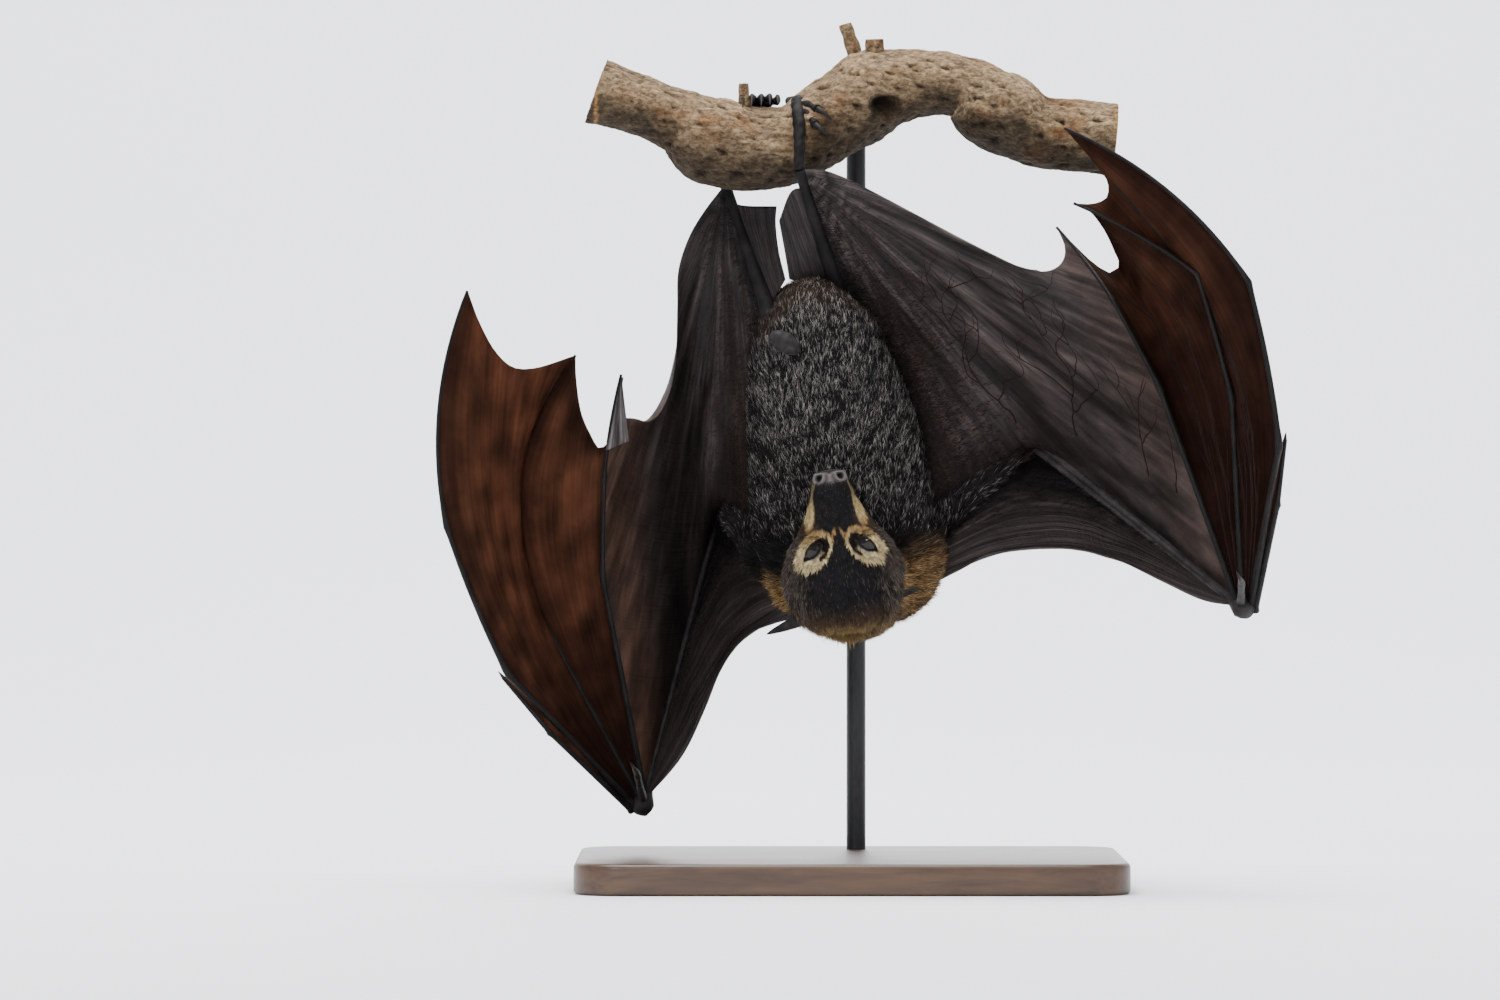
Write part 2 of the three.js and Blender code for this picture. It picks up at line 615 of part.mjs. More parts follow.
/** The forearm with the wrist's knot of small bones on its end. */
function forearmLimb({ elbow, wrist }) {
  const end = wrist.clone().add(wrist.clone().sub(elbow).setLength(6.5));
  const knot = [[0.92, 0.6], [0.955, 3.4], [0.985, 5.2], [1, 3]];
  const radius = (t) => {
    const [, swell] = knot.findLast(([from]) => t >= from - 1e-6) ?? [0, 0];
    return 3.4 + 2.4 * (1 - t) ** 2 + swell;
  };
  return limb(straight(elbow, end), radius, [0, 0.06, 0.25, 0.6, ...knot.map(([t]) => t)], 8);
}

/** How far out on a finger a skin's edge is at v, where it stops at a share of its last bone. */
const upTo = (path, share) => (v) => path(v > 0.7 ? 0.7 + ((v - 0.7) * (share - 0.7)) / 0.3 : v);

/** The folded skin round a free fingertip. */
function finForm([rootA, rootB], tip, grow) {
  const surface = (u, v) => vec(rootA).lerp(vec(rootB), u).lerp(tip, 0.96 * v);
  return sheet({ surface, trim: (s, t) => [s, t], columns: 1, rows: evenStops(3) }, MEMBRANE + 0.4 + 2 * grow);
}

/** The skins of a wing by name, each a surface with how it is trimmed and divided. */
function wingSkins(wing, joints, limbs, leg) {
  const { shoulder, elbow, wrist } = joints;
  const along = (digit) => limbs[digit].path;
  const tipOf = (digit) => joints[digit][joints[digit].length - 1];
  const atWrist = () => wrist.clone();
  const armLine = (t) => (t < ELBOW_AT
    ? shoulder.clone().lerp(elbow, t / ELBOW_AT)
    : elbow.clone().lerp(wrist, (t - ELBOW_AT) / (1 - ELBOW_AT)));
  const [knee, ankle] = [vec(leg.knee), vec(leg.ankle)];
  const flank = smoothPath([shoulder, ...wing.root.map(vec), knee.clone().lerp(ankle, 0.12), ankle]);
  const beside5 = upTo(along('digit5'), wing.skinTo);
  const before5 = upTo(along('digit5'), wing.webTo);
  const legEdge = freeEdge(ankle, beside5(1), wing.legEdge);
  const tip54 = freeEdge(before5(1), tipOf('digit4'), wing.tip54);
  const tip43 = freeEdge(tipOf('digit4'), tipOf('digit3'), wing.tip43);
  const neckEnd = vec(wing.neckEnd);
  const neckEdge = freeEdge(neckEnd, wrist, wing.neckEdge);
  const web = (digitA, digitB, columns, hem) => {
    const sideA = digitA === 'digit5' ? before5 : along(digitA);
    const atBase = straight(sideA(0), along(digitB)(0));
    const surface = billowed(patch(sideA, along(digitB), atBase, hem), 4);
    const trim = trimBetween(surface, { start: [limbs[digitA]], finish: [limbs[digitB]], from: 0.05 });
    return { surface, trim, columns, rows: WEB_ROWS };
  };
  const arm = [limbs.upper_arm, limbs.forearm];
  const wingSurface = billowed(patch(flank, beside5, armLine, legEdge), 7);
  const foreSurface = patch(armLine, neckEdge, straight(shoulder, neckEnd), atWrist);
  return {
    wing_skin: {
      surface: wingSurface, columns: 9, rows: evenStops(9),
      trim: trimBetween(wingSurface, { finish: [limbs.digit5], head: arm }),
    },
    web_4_5: web('digit5', 'digit4', 4, tip54),
    web_3_4: web('digit4', 'digit3', 4, tip43),
    fore_skin: {
      surface: foreSurface, columns: 3, rows: evenStops(9),
      trim: (s, t) => {
        const clearOfArm = trimBetween(foreSurface, { start: arm });
        return clearOfArm(s, 0.96 * t);
      },
    },
  };
}

/** The narrow skin between a shin and the middle of the rump. */
function tailSkin(leg, shin) {
  const beside = (t) => shin.path(0.86 - 0.8 * t);
  const [first, ...rest] = leg.tailEdge.map(vec);
  const root = vec(leg.tailRoot);
  const hem = smoothPath([beside(0), first, rest[0]]);
  const surface = patch(beside, smoothPath([...rest, root]), hem, straight(beside(1), root));
  return { surface, columns: 3, rows: evenStops(5), trim: trimBetween(surface, { start: [shin] }) };
}

// ---------------------------------------------------------------- assembly
place('stand_rod', 'steel', rodForm);
place('stand_arm', 'steel', armForm);
place('stand_base', 'wood', baseForm);
place('perch', 'bark', branchForm);

for (const side of ['left', 'right']) place(`thigh_${side}`, 'fur', (grow) => thighForm(LEGS[side], grow));
place('belly', 'fur', (grow) => trunkForm(grow).intersect(ABOVE_WAIST(grow)));
place('chest', 'fur', (grow) => trunkForm(grow).subtract(ABOVE_WAIST(-grow)));
for (const [side, sign] of [['left', 1], ['right', -1]]) place(`eye_${side}`, 'eye', (grow) => eyeForm(sign, grow));
place('jaw', 'fur', (grow) => headForm(grow).intersect(underMouth(grow)));
place('head', 'fur', headForm);
place('neck', 'mantle', neckForm);
for (const side of ['left', 'right']) place(`ear_${side}`, 'bareSkin', (grow) => earForm(EARS[side], grow));
place('sheath', 'bareSkin', sheathForm);

const shins = {};
for (const side of ['left', 'right']) {
  const leg = LEGS[side];
  shins[side] = shinLimb(leg);
  place(`shin_${side}`, 'bareSkin', shins[side].form);
  place(`foot_${side}`, 'bareSkin', (grow) => footForm(leg, grow));
  leg.toes.forEach((toe, i) => {
    const [end, tip] = [vec(toe), vec(leg.tips[i])];
    const from = end.clone().add(end.clone().sub(vec(leg.knuckles)).setLength(CLAW.apart));
    place(`claw_${side}_${i + 1}`, 'claw', (grow) => clawForm(from, tip, branchMiddle(from.x), CLAW.radius, grow));
  });
}

for (const side of ['left', 'right']) {
  const wing = WINGS[side];
  const joints = wingJoints(wing);
  const limbs = { upper_arm: upperArmLimb(joints), forearm: forearmLimb(joints) };
  place(`upper_arm_${side}`, 'fur', limbs.upper_arm.form);
  place(`forearm_${side}`, 'bareSkin', limbs.forearm.form);
  for (const [digit, build] of Object.entries(FINGERS)) {
    limbs[digit] = fingerLimb(joints[digit], build, wing.outward);
    const withFin = digit === 'digit5' && wing.fin;
    place(`${digit}_${side}`, 'bareSkin', (grow) => (withFin
      ? limbs[digit].form(grow).add(finForm(wing.fin, limbs[digit].path(1), grow))
      : limbs[digit].form(grow)));
  }
  const [wrist, thumbEnd] = joints.thumb;
  const thumbTip = reach(thumbEnd, 9, [wing.thumb[0][0] + 70, 40]);
  const thumb = limb(straight(wrist, thumbEnd), (t) => 2.6 - t, evenStops(3), 5);
  place(`thumb_${side}`, 'bareSkin', thumb.form);
  place(`thumb_claw_${side}`, 'claw', (grow) => clawForm(thumbEnd, thumbTip, wrist, 1.8, grow));
  for (const [name, skin] of Object.entries(wingSkins(wing, joints, limbs, LEGS[side]))) {
    const finish = name.startsWith('web') ? 'handSkin' : 'wingSkin';
    place(`${name}_${side}`, finish, (grow) => sheet(skin, MEMBRANE + 2 * grow));
  }
  const tail = tailSkin(LEGS[side], shins[side]);
  place(`tail_skin_${side}`, 'wingSkin', (grow) => sheet(tail, MEMBRANE + 2 * grow));
}

export default model;
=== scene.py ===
"""The looks of a spectacled flying fox that hangs from a cut branch on a display stand.

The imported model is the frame. One skin replaces all the flesh, sheets of tufts make
the coat over it, and the eyes, claws, branch and stand are pieces of their own.
Sizes are in millimetres, in the frame's own axes, and become metres when a mesh is made.
"""

import logging
import math
from dataclasses import dataclass, field
from enum import Enum
from typing import Callable, Iterable, Optional, Sequence

import bmesh
import bpy
import numpy as np
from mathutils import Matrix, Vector

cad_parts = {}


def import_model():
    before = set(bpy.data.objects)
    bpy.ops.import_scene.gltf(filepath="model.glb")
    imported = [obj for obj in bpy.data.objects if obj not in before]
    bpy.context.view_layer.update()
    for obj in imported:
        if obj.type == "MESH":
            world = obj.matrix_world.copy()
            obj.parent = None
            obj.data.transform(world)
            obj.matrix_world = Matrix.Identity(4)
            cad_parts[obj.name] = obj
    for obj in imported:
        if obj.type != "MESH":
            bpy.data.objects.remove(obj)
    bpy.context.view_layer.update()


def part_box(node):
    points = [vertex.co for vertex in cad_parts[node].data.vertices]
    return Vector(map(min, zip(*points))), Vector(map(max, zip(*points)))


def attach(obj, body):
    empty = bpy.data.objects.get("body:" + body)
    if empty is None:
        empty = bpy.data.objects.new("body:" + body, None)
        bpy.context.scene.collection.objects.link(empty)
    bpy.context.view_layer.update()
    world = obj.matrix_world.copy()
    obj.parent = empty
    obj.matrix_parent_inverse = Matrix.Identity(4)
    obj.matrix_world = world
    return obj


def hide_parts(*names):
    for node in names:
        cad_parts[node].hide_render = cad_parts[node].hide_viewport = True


LOG = logging.getLogger("fruit_bat")
MM = 0.001
# The vertex colours that every animal and bark material reads, and the two UV maps.
TONE, HIDE_MAP, COAT_MAP = "tone", "Hide", "OFBake"

Array = np.ndarray
Path = Callable[[Array], Array]
Surface = Callable[[Array, Array], Array]
Color = tuple[float, float, float]


class Side(Enum):
    """The animal's own two sides; its left is towards +X."""

    LEFT = "left"
    RIGHT = "right"

    @property
    def sign(self) -> int:
        """+1 on the left and -1 on the right."""
        return 1 if self is Side.LEFT else -1


# ------------------------------------------------------------------ the animal's plan
FOREARM = 172.0
SHARES = {
    "humerus": 0.6,
    "thumb": [0.25],
    "digit2": [0.44, 0.225],
    "digit3": [0.675, 0.49, 0.7],
    "digit4": [0.7, 0.39, 0.42],
    "digit5": [0.725, 0.31, 0.31],
}


@dataclass(frozen=True)
class WingPlan:
    """How one wing is held: bones by two angles in degrees, edges by their offsets."""

    shoulder: tuple
    humerus: tuple
    forearm: tuple
    thumb: tuple
    digit2: tuple
    digit3: tuple
    digit4: tuple
    digit5: tuple
    wrist_row: tuple
    outward: int
    skin_to: float
    web_to: float
    root: tuple
    neck_end: tuple
    leg_edge: tuple
    tip54: tuple
    tip43: tuple
    neck_edge: tuple
    fin: Optional[tuple] = None


WINGS = {
    Side.LEFT: WingPlan(
        shoulder=(25.5, 12, 167), humerus=(41.5, -23), forearm=(-40.5, 40),
        thumb=((100, 72),), digit2=((81.7, 44.5), (86, 33.5)),
        digit3=((83.7, 44.5), (101.5, 12.5), (139.5, -12)),
        digit4=((95, 28.5), (107, 19), (149.5, -14.5)),
        digit5=((111, 19), (117, -20.5), (126, -32)),
        wrist_row=(0.95, 0, -0.3), outward=1, skin_to=1.0, web_to=1.0,
        root=((35, 15, 205), (29, 18, 245), (12, 16, 283)),
        neck_end=(47, -2, 157.5),
        leg_edge=((11, 2.5), (25, 0.8), (42, -3.5), (60, -8.5), (89, -16.5), (106.5, -21),
                  (121, -24), (135.5, -23), (141.5, -17.5), (141.5, -11)),
        tip54=((-2.5, -11), (-6, -27), (-5, -37.5), (-0.5, -37), (3.5, -31), (10, -16),
               (12.5, -6.5)),
        tip43=((-1.5, -9.5), (0.5, -16.5), (7.5, -18), (12.5, -16)),
        neck_edge=((12, 8), (20, 14), (33, 18), (50.5, 21), (68, 21.5), (87.5, 18),
                   (112, 8.5), (132.5, 1)),
    ),
    Side.RIGHT: WingPlan(
        shoulder=(-38, -4, 169), humerus=(134, -67), forearm=(-104.5, 20.5),
        thumb=((100, 66),), digit2=((134.6, 39.5), (129.5, 17.5)),
        digit3=((132.3, 35), (112, 15), (84.5, 9)),
        digit4=((118, 14), (102, 9), (60.5, 5.5)),
        digit5=((100.5, 20.5), (89, 12), (80.5, 9.5)),
        wrist_row=(-0.8, 0, -0.6), outward=-1, skin_to=0.87, web_to=0.8,
        root=((-47, 12, 205), (-47, 14, 245), (-43, 10, 278)),
        neck_end=(-28, -2, 137.5),
        leg_edge=((16.5, -3.5), (32, -5), (51, -2.5), (68, 5), (93, 16), (109.5, 20.5),
                  (122.5, 20.5), (128, 17.5), (129.5, 10)),
        tip54=((-1.5, 5), (7, 7), (19, 7.5), (37.5, 3.5)),
        tip43=((14.5, 16.5), (23.5, 21.5), (34.5, 19.5), (50, 10)),
        neck_edge=((10, -7), (20.5, -12.5), (32, -14), (46.5, -12), (65.5, -6), (92.5, 0.5)),
        fin=((-125, -27, 223), (-113, -28.5, 228)),
    ),
}


@dataclass(frozen=True)
class LegPlan:
    """One leg: its joints, the knuckles over the branch, and each toe and claw."""

    hip: tuple
    knee: tuple
    ankle: tuple
    foot: tuple
    knuckles: tuple
    toes: tuple
    tips: tuple
    tail_root: tuple
    tail_edge: tuple


LEGS = {
    Side.LEFT: LegPlan(
        hip=(-9, 2, 276), knee=(-5, 12, 303), ankle=(-26.3, -26.5, 366),
        foot=((-26, -25.5, 380), (-26.5, -19, 394)), knuckles=(-27, -10, 402.5),
        toes=((-31, 8, 403), (-26.5, 9.5, 404), (-22, 9, 405), (-17, -20.5, 397.5),
              (-18, -23.5, 389.5)),
        tips=((-31.5, 17.5, 395), (-26.5, 19, 394.5), (-21.5, 18, 397), (-9.5, -23, 391.5),
              (-11.5, -26.5, 383.5)),
        tail_root=(-31, -2, 311),
        tail_edge=((-29.5, -21, 356), (-36.5, -8, 341), (-33.5, -4, 325)),
    ),
    Side.RIGHT: LegPlan(
        hip=(-33, 2, 276), knee=(-41, -7, 291), ankle=(-64, 25, 361),
        foot=((-59, 26.5, 376), (-52, 25, 390)), knuckles=(-48, 15, 400.5),
        toes=((-54.5, 4, 403.5), (-50, 4, 404), (-45.5, 4, 404), (-41.5, 4, 404),
              (-37.5, 5, 403)),
        tips=((-55, -8.5, 399), (-50.5, -10, 399.5), (-45.5, -10, 399.5), (-41, -10, 400),
              (-37, -9, 400.5)),
        tail_root=(-33, -2, 311),
        tail_edge=((-54, 16, 349.5), (-37.5, 10, 349), (-38, 9, 341), (-36.5, 4, 326)),
    ),
}

# Branch from end to end: across, height, radius; and its stubs: foot, top, radius.
BRANCH = np.array([
    (-130, 408, 17), (-108, 400.5, 16.5), (-88, 392.5, 16.7), (-75, 384, 21),
    (-57, 378.5, 21), (-41, 378.5, 20.5), (-27, 381.5, 20), (-14, 390, 21), (1, 399.7, 22),
    (16, 408.5, 20), (36, 411.5, 16.5), (58, 410, 16), (71, 400, 21.5), (83, 394, 20.5),
    (98, 387, 17.5), (116, 385, 17.5), (136, 383, 18.5)], float)
TWIGS = (((-54, 0, 396), (-54.5, -2, 411.5), 3.0), ((6, 0, 416), (-2.5, -2, 442), 4.0),
         ((13, -2, 420), (12.5, -3, 434), 5.5))

# Head: back from the nose, half width, height above and below its axis.
HEAD_ROWS = np.array([
    (0, 7.4, 5, 4.5), (4, 9.6, 7, 7), (12, 12, 8.5, 10), (22, 15.5, 10.5, 12),
    (31, 20.5, 13.5, 15), (39, 25.5, 16.5, 17), (49, 30, 20, 19), (58, 30, 21.5, 20),
    (68, 27, 20.5, 19), (76, 20, 16, 15), (82, 9, 8, 8)], float)
NOSE = np.array((-11.5, -73.0, 212.0))
HEAD_TILT = math.radians(18)
HEAD_ROLL = math.radians(8)
# How the face's flat front view leans back from the head's own axis.
FACE_COS, FACE_SIN = 0.951, 0.309
EYE_PLACE = (36.8, 13.7, 9.2)
EYE_RADIUS = 6.6
EARS = {
    Side.RIGHT: ((74, -18, 1), (82.8, -42.3, -6)),
    Side.LEFT: ((70, 21, 1), (71.5, 37.8, -10)),
}
MOUTH_BACK = 37.0
# The bare pod below the belly: its middle, half sizes and lean.
SHEATH_MIDDLE, SHEATH_HALF, SHEATH_LEAN = (-33.5, -36, 278), (8.8, 5.2, 5.2), math.radians(-148)
# Colours laid over the bark's own, as linear light.
BARK_TINT, BARK_TAN, BARK_CRACK = (1.0, 0.97, 0.93), (0.62, 0.42, 0.27), (0.10, 0.075, 0.06)
BARK_HOLLOW, SAWN_WOOD, TWIG_TAN = (0.06, 0.045, 0.035), (1.3, 0.95, 0.55), (0.85, 0.8, 0.74)
# Large numbers that mix a cell's place and a seed into one number.
MIX_CELL, MIX_SEED, MIX_NEXT = (73856093, 19349663, 83492791), 2654435761, 668265263


# ------------------------------------------------------------------ number tools
def smoothstep(low: float, high: float, x: Array) -> Array:
    """A smooth rise from 0 to 1 as x goes from low to high."""
    t = np.clip((x - low) / (high - low), 0, 1)
    return t * t * (3 - 2 * t)


def unit(v: Array) -> Array:
    """Rows of v scaled to length 1."""
    return v / np.maximum(np.linalg.norm(v, axis=-1, keepdims=True), 1e-12)


def ripple(points: Array, scale: float, seed: int) -> Array:
    """A smooth pseudo-random field over points.

    Args:
        points: Places, in millimetres.
        scale: The size of its patches, in millimetres.
        seed: Which field.
    Returns:
        Values of about -1 to 1.
    """
    waves, calm = 7, 4.0
    rng = np.random.default_rng(seed)
    total = np.zeros(len(points))
    for _ in range(waves):
        way = unit(rng.normal(size=3)) * rng.uniform(0.6, 1.6) * 2 * math.pi / scale
        total += np.sin(points @ way + rng.uniform(0, 2 * math.pi))
    return total / calm


def swirl(points: Array, *fields: tuple[float, int]) -> Array:
    """A smooth pseudo-random direction over points, from a field's scale and seed per axis."""
    return np.stack([ripple(points, scale, seed) for scale, seed in fields], axis=1)


def read_rows(rows: Array, t: Array) -> Array:
    """Reads equally spaced rows smoothly at t from 0 to 1."""
    place = np.clip(t, 0, 1) * (len(rows) - 1)
    i = np.minimum(np.floor(place).astype(int), len(rows) - 2)
    f = (place - i)[:, None]
    a, b, c, d = (rows[np.clip(i + k, 0, len(rows) - 1)] for k in (-1, 0, 1, 2))
    return b + 0.5 * f * (c - a + f * (2 * a - 5 * b + 4 * c - d + f * (3 * (b - c) + d - a)))


def straight(start: Sequence[float], end: Sequence[float]) -> Path:
    """The straight path between two points."""
    a, b = np.array(start, float), np.array(end, float)
    return lambda t: a + np.clip(t, 0, 1)[:, None] * (b - a)


def smooth_path(points: Sequence[Sequence[float]]) -> Path:
    """A centripetal curve through points, read from 0 to 1 by its length."""
    p = np.array(points, float)
    p = np.vstack([2 * p[0] - p[1], p, 2 * p[-1] - p[-2]])
    stops_per_span = 33
    f = np.linspace(0, 1, stops_per_span)[:, None]
    samples = []
    for k in range(1, len(p) - 2):
        p0, p1, p2, p3 = p[k - 1:k + 3]
        spans = ((p0, p1), (p1, p2), (p2, p3))
        gaps = [max(float(np.sum((b - a) ** 2)) ** 0.25, 1e-4) for a, b in spans]
        out = (((p1 - p0) / gaps[0] - (p2 - p0) / (gaps[0] + gaps[1]) + (p2 - p1) / gaps[1])
               * gaps[1])
        come = (((p2 - p1) / gaps[1] - (p3 - p1) / (gaps[1] + gaps[2]) + (p3 - p2) / gaps[2])
                * gaps[1])
        samples.append(p1 + out * f + (3 * (p2 - p1) - 2 * out - come) * f ** 2
                       + (2 * (p1 - p2) + out + come) * f ** 3)
    line = np.vstack(samples)
    length = np.concatenate([[0], np.cumsum(np.linalg.norm(np.diff(line, axis=0), axis=1))])
    length /= length[-1]
    return lambda t: np.stack([np.interp(np.clip(t, 0, 1), length, line[:, k]) for k in range(3)],
                              axis=1)


def coons(side_a: Path, side_b: Path, end_a: Path, end_b: Path) -> Surface:
    """The surface between four edges: two sides run with v, and two ends run with u."""

    def place(u: Array, v: Array) -> Array:
        """Points of the surface."""
        uu, vv = u[:, None], v[:, None]
        zero, one = np.zeros_like(u), np.ones_like(u)
        across = side_a(v) * (1 - uu) + side_b(v) * uu
        along = end_a(u) * (1 - vv) + end_b(u) * vv
        first = side_a(zero) * (1 - uu) + side_b(zero) * uu
        last = side_a(one) * (1 - uu) + side_b(one) * uu
        return across + along - first * (1 - vv) - last * vv

    return place


def billowed(surface: Surface, height: float) -> Surface:
    """The same surface, swollen towards +Y in its middle."""

    def place(u: Array, v: Array) -> Array:
        """Points of the swollen surface."""
        p = surface(u, v)
        p[:, 1] += height * np.sin(math.pi * np.clip(u, 0, 1)) * np.sin(math.pi * np.clip(v, 0, 1))
        return p

    return place


def relaxed(surface: Surface, cells: int = 72, rounds: int = 700) -> Surface:
    """The same surface pulled taut between its own edges, as a stretched skin is.

    Args:
        surface: The surface to pull taut.
        cells: How finely it is worked out, both ways.
        rounds: How many times each inner place moves to the middle of its neighbours.
    Returns:
        The taut surface.
    """
    line = np.linspace(0, 1, cells + 1)
    u, v = np.meshgrid(line, line)
    net = surface(u.ravel(), v.ravel()).reshape(cells + 1, cells + 1, 3)
    for _ in range(rounds):
        net[1:-1, 1:-1] = (net[:-2, 1:-1] + net[2:, 1:-1] + net[1:-1, :-2] + net[1:-1, 2:]) / 4

    def place(u: Array, v: Array) -> Array:
        """Points of the taut surface."""
        a, b = np.clip(u, 0, 1) * cells, np.clip(v, 0, 1) * cells
        i, j = np.minimum(a.astype(int), cells - 1), np.minimum(b.astype(int), cells - 1)
        f, g = (a - i)[:, None], (b - j)[:, None]
        return ((net[j, i] * (1 - f) + net[j, i + 1] * f) * (1 - g)
                + (net[j + 1, i] * (1 - f) + net[j + 1, i + 1] * f) * g)

    return place


def free_edge(start: Array, end: Array, offsets: Sequence[Sequence[float]]) -> Path:
    """An edge from start to end, bent by offsets along and off the chord between them."""
    chord = (end - start) * np.array((1, 0, 1))
    length = float(np.linalg.norm(chord))
    along = chord / length
    off = np.array((-along[2], 0, along[0]))
    points = [start]
    for a, o in offsets:
        p = start + along * a + off * o
        p[1] = start[1] + (end[1] - start[1]) * min(max(a / length, 0), 1)
        points.append(p)
    return smooth_path([*points, end])


def reach(start: Array, length: float, angles: Sequence[float]) -> Array:
    """The far end of a bone that points by two angles, across and forward."""
    across, forward = (math.radians(a) for a in angles)
    flat = length * math.cos(forward)
    return (start
            + np.array((flat * math.cos(across), -length * math.sin(forward),
                        flat * math.sin(across))))


# ------------------------------------------------------------------ mesh tools
def set_points(mesh: bpy.types.Mesh, points: Array) -> None:
    """Moves a mesh's vertices to points given in millimetres."""
    mesh.vertices.foreach_set("co", (points * MM).astype(np.float32).ravel())
    mesh.update()


def get_points(mesh: bpy.types.Mesh) -> Array:
    """A mesh's vertices, in millimetres."""
    co = np.zeros(len(mesh.vertices) * 3, np.float32)
    mesh.vertices.foreach_get("co", co)
    return co.reshape(-1, 3).astype(float) / MM


def get_normals(mesh: bpy.types.Mesh) -> Array:
    """A mesh's vertex normals."""
    no = np.zeros(len(mesh.vertices) * 3, np.float32)
    mesh.vertex_normals.foreach_get("vector", no)
    return no.reshape(-1, 3).astype(float)


def to_mesh(name: str, bm: bmesh.types.BMesh) -> bpy.types.Mesh:
    """A mesh from a bmesh, smooth-shaded; the bmesh is freed."""
    for face in bm.faces:
        face.smooth = True
    mesh = bpy.data.meshes.new(name)
    bm.to_mesh(mesh)
    bm.free()
    return mesh


def to_object(name: str, mesh: bpy.types.Mesh) -> bpy.types.Object:
    """An object at the origin that holds a mesh."""
    piece = bpy.data.objects.new(name, mesh)
    bpy.context.scene.collection.objects.link(piece)
    return piece


def outward(bm: bmesh.types.BMesh) -> None:
    """Points all of a closed bmesh's faces outwards."""
    bm.normal_update()
    bmesh.ops.recalc_face_normals(bm, faces=bm.faces[:])
    if bm.calc_volume(signed=True) < 0:
        bmesh.ops.reverse_faces(bm, faces=bm.faces[:])


def loft(rings: int, around: int,
         place: Callable[[Array, Array, Array], Array]) -> bmesh.types.BMesh:
    """A closed form of rings, like a globe that is pulled to shape.

    Args:
        rings: How many rings.
        around: How many points in each.
        place: Gives points from t along the form and the cosine and sine round it;
            both are 0 at the form's two ends.
    Returns:
        The form, in millimetres times MM.
    """
    bm = bmesh.new()
    bmesh.ops.create_uvsphere(bm, u_segments=around, v_segments=rings + 1, radius=1.0)
    co = np.array([v.co[:] for v in bm.verts])
    row = np.rint(np.arccos(np.clip(co[:, 2], -1, 1)) / math.pi * (rings + 1))
    size = np.hypot(co[:, 0], co[:, 1])
    pole = (row < 0.5) | (row > rings + 0.5)
    size[pole] = 1.0
    cos, sin = co[:, 0] / size, co[:, 1] / size
    cos[pole] = sin[pole] = 0
    points = place(np.clip((row - 1) / (rings - 1), 0, 1), cos, sin)
    for vert, p in zip(bm.verts, points * MM):
        vert.co = p
    outward(bm)
    return bm


def tube(path: Path, radius: Callable[[Array], Array], rings: int, around: int,
         flat: float = 1.0) -> bmesh.types.BMesh:
    """A round bar along a path, of a radius that changes along it; flat squeezes it in Y."""

    def place(t: Array, cos: Array, sin: Array) -> Array:
        """Points of the bar."""
        ahead = unit(path(np.minimum(t + 0.01, 1)) - path(np.maximum(t - 0.01, 0)))
        side = np.cross(np.array((0, 1.0, 0)), ahead)
        side[np.linalg.norm(side, axis=1) < 0.2] = (1, 0, 0)
        side = unit(side)
        up = np.cross(ahead, side)
        r = radius(t)[:, None]
        return path(t) + side * cos[:, None] * r + up * sin[:, None] * r * flat

    return loft(rings, around, place)


def paint(mesh: bpy.types.Mesh, colors: Array) -> None:
    """Stores a colour for each vertex."""
    layers = mesh.color_attributes
    layer = layers.get(TONE) or layers.new(TONE, "FLOAT_COLOR", "POINT")
    rgba = np.concatenate([colors, np.ones((len(colors), 1))], axis=1)
    layer.data.foreach_set("color", rgba.astype(np.float32).ravel())


def toned(mesh: bpy.types.Mesh, color: Color, light: Array) -> bpy.types.Mesh:
    """Paints a mesh in one colour that is lit by a value at each vertex, and returns it."""
    paint(mesh, np.tile(color, (len(light), 1)) * light[:, None])
    return mesh


def joined(name: str, meshes: Iterable[bpy.types.Mesh]) -> bpy.types.Object:
    """One object of several meshes, which keep their colours and their materials."""
    pieces = [to_object(f"{name}_{i}", mesh) for i, mesh in enumerate(meshes)]
    with bpy.context.temp_override(active_object=pieces[0], selected_editable_objects=pieces):
        bpy.ops.object.join()
    pieces[0].name = name
    pieces[0].data.name = name
    return pieces[0]


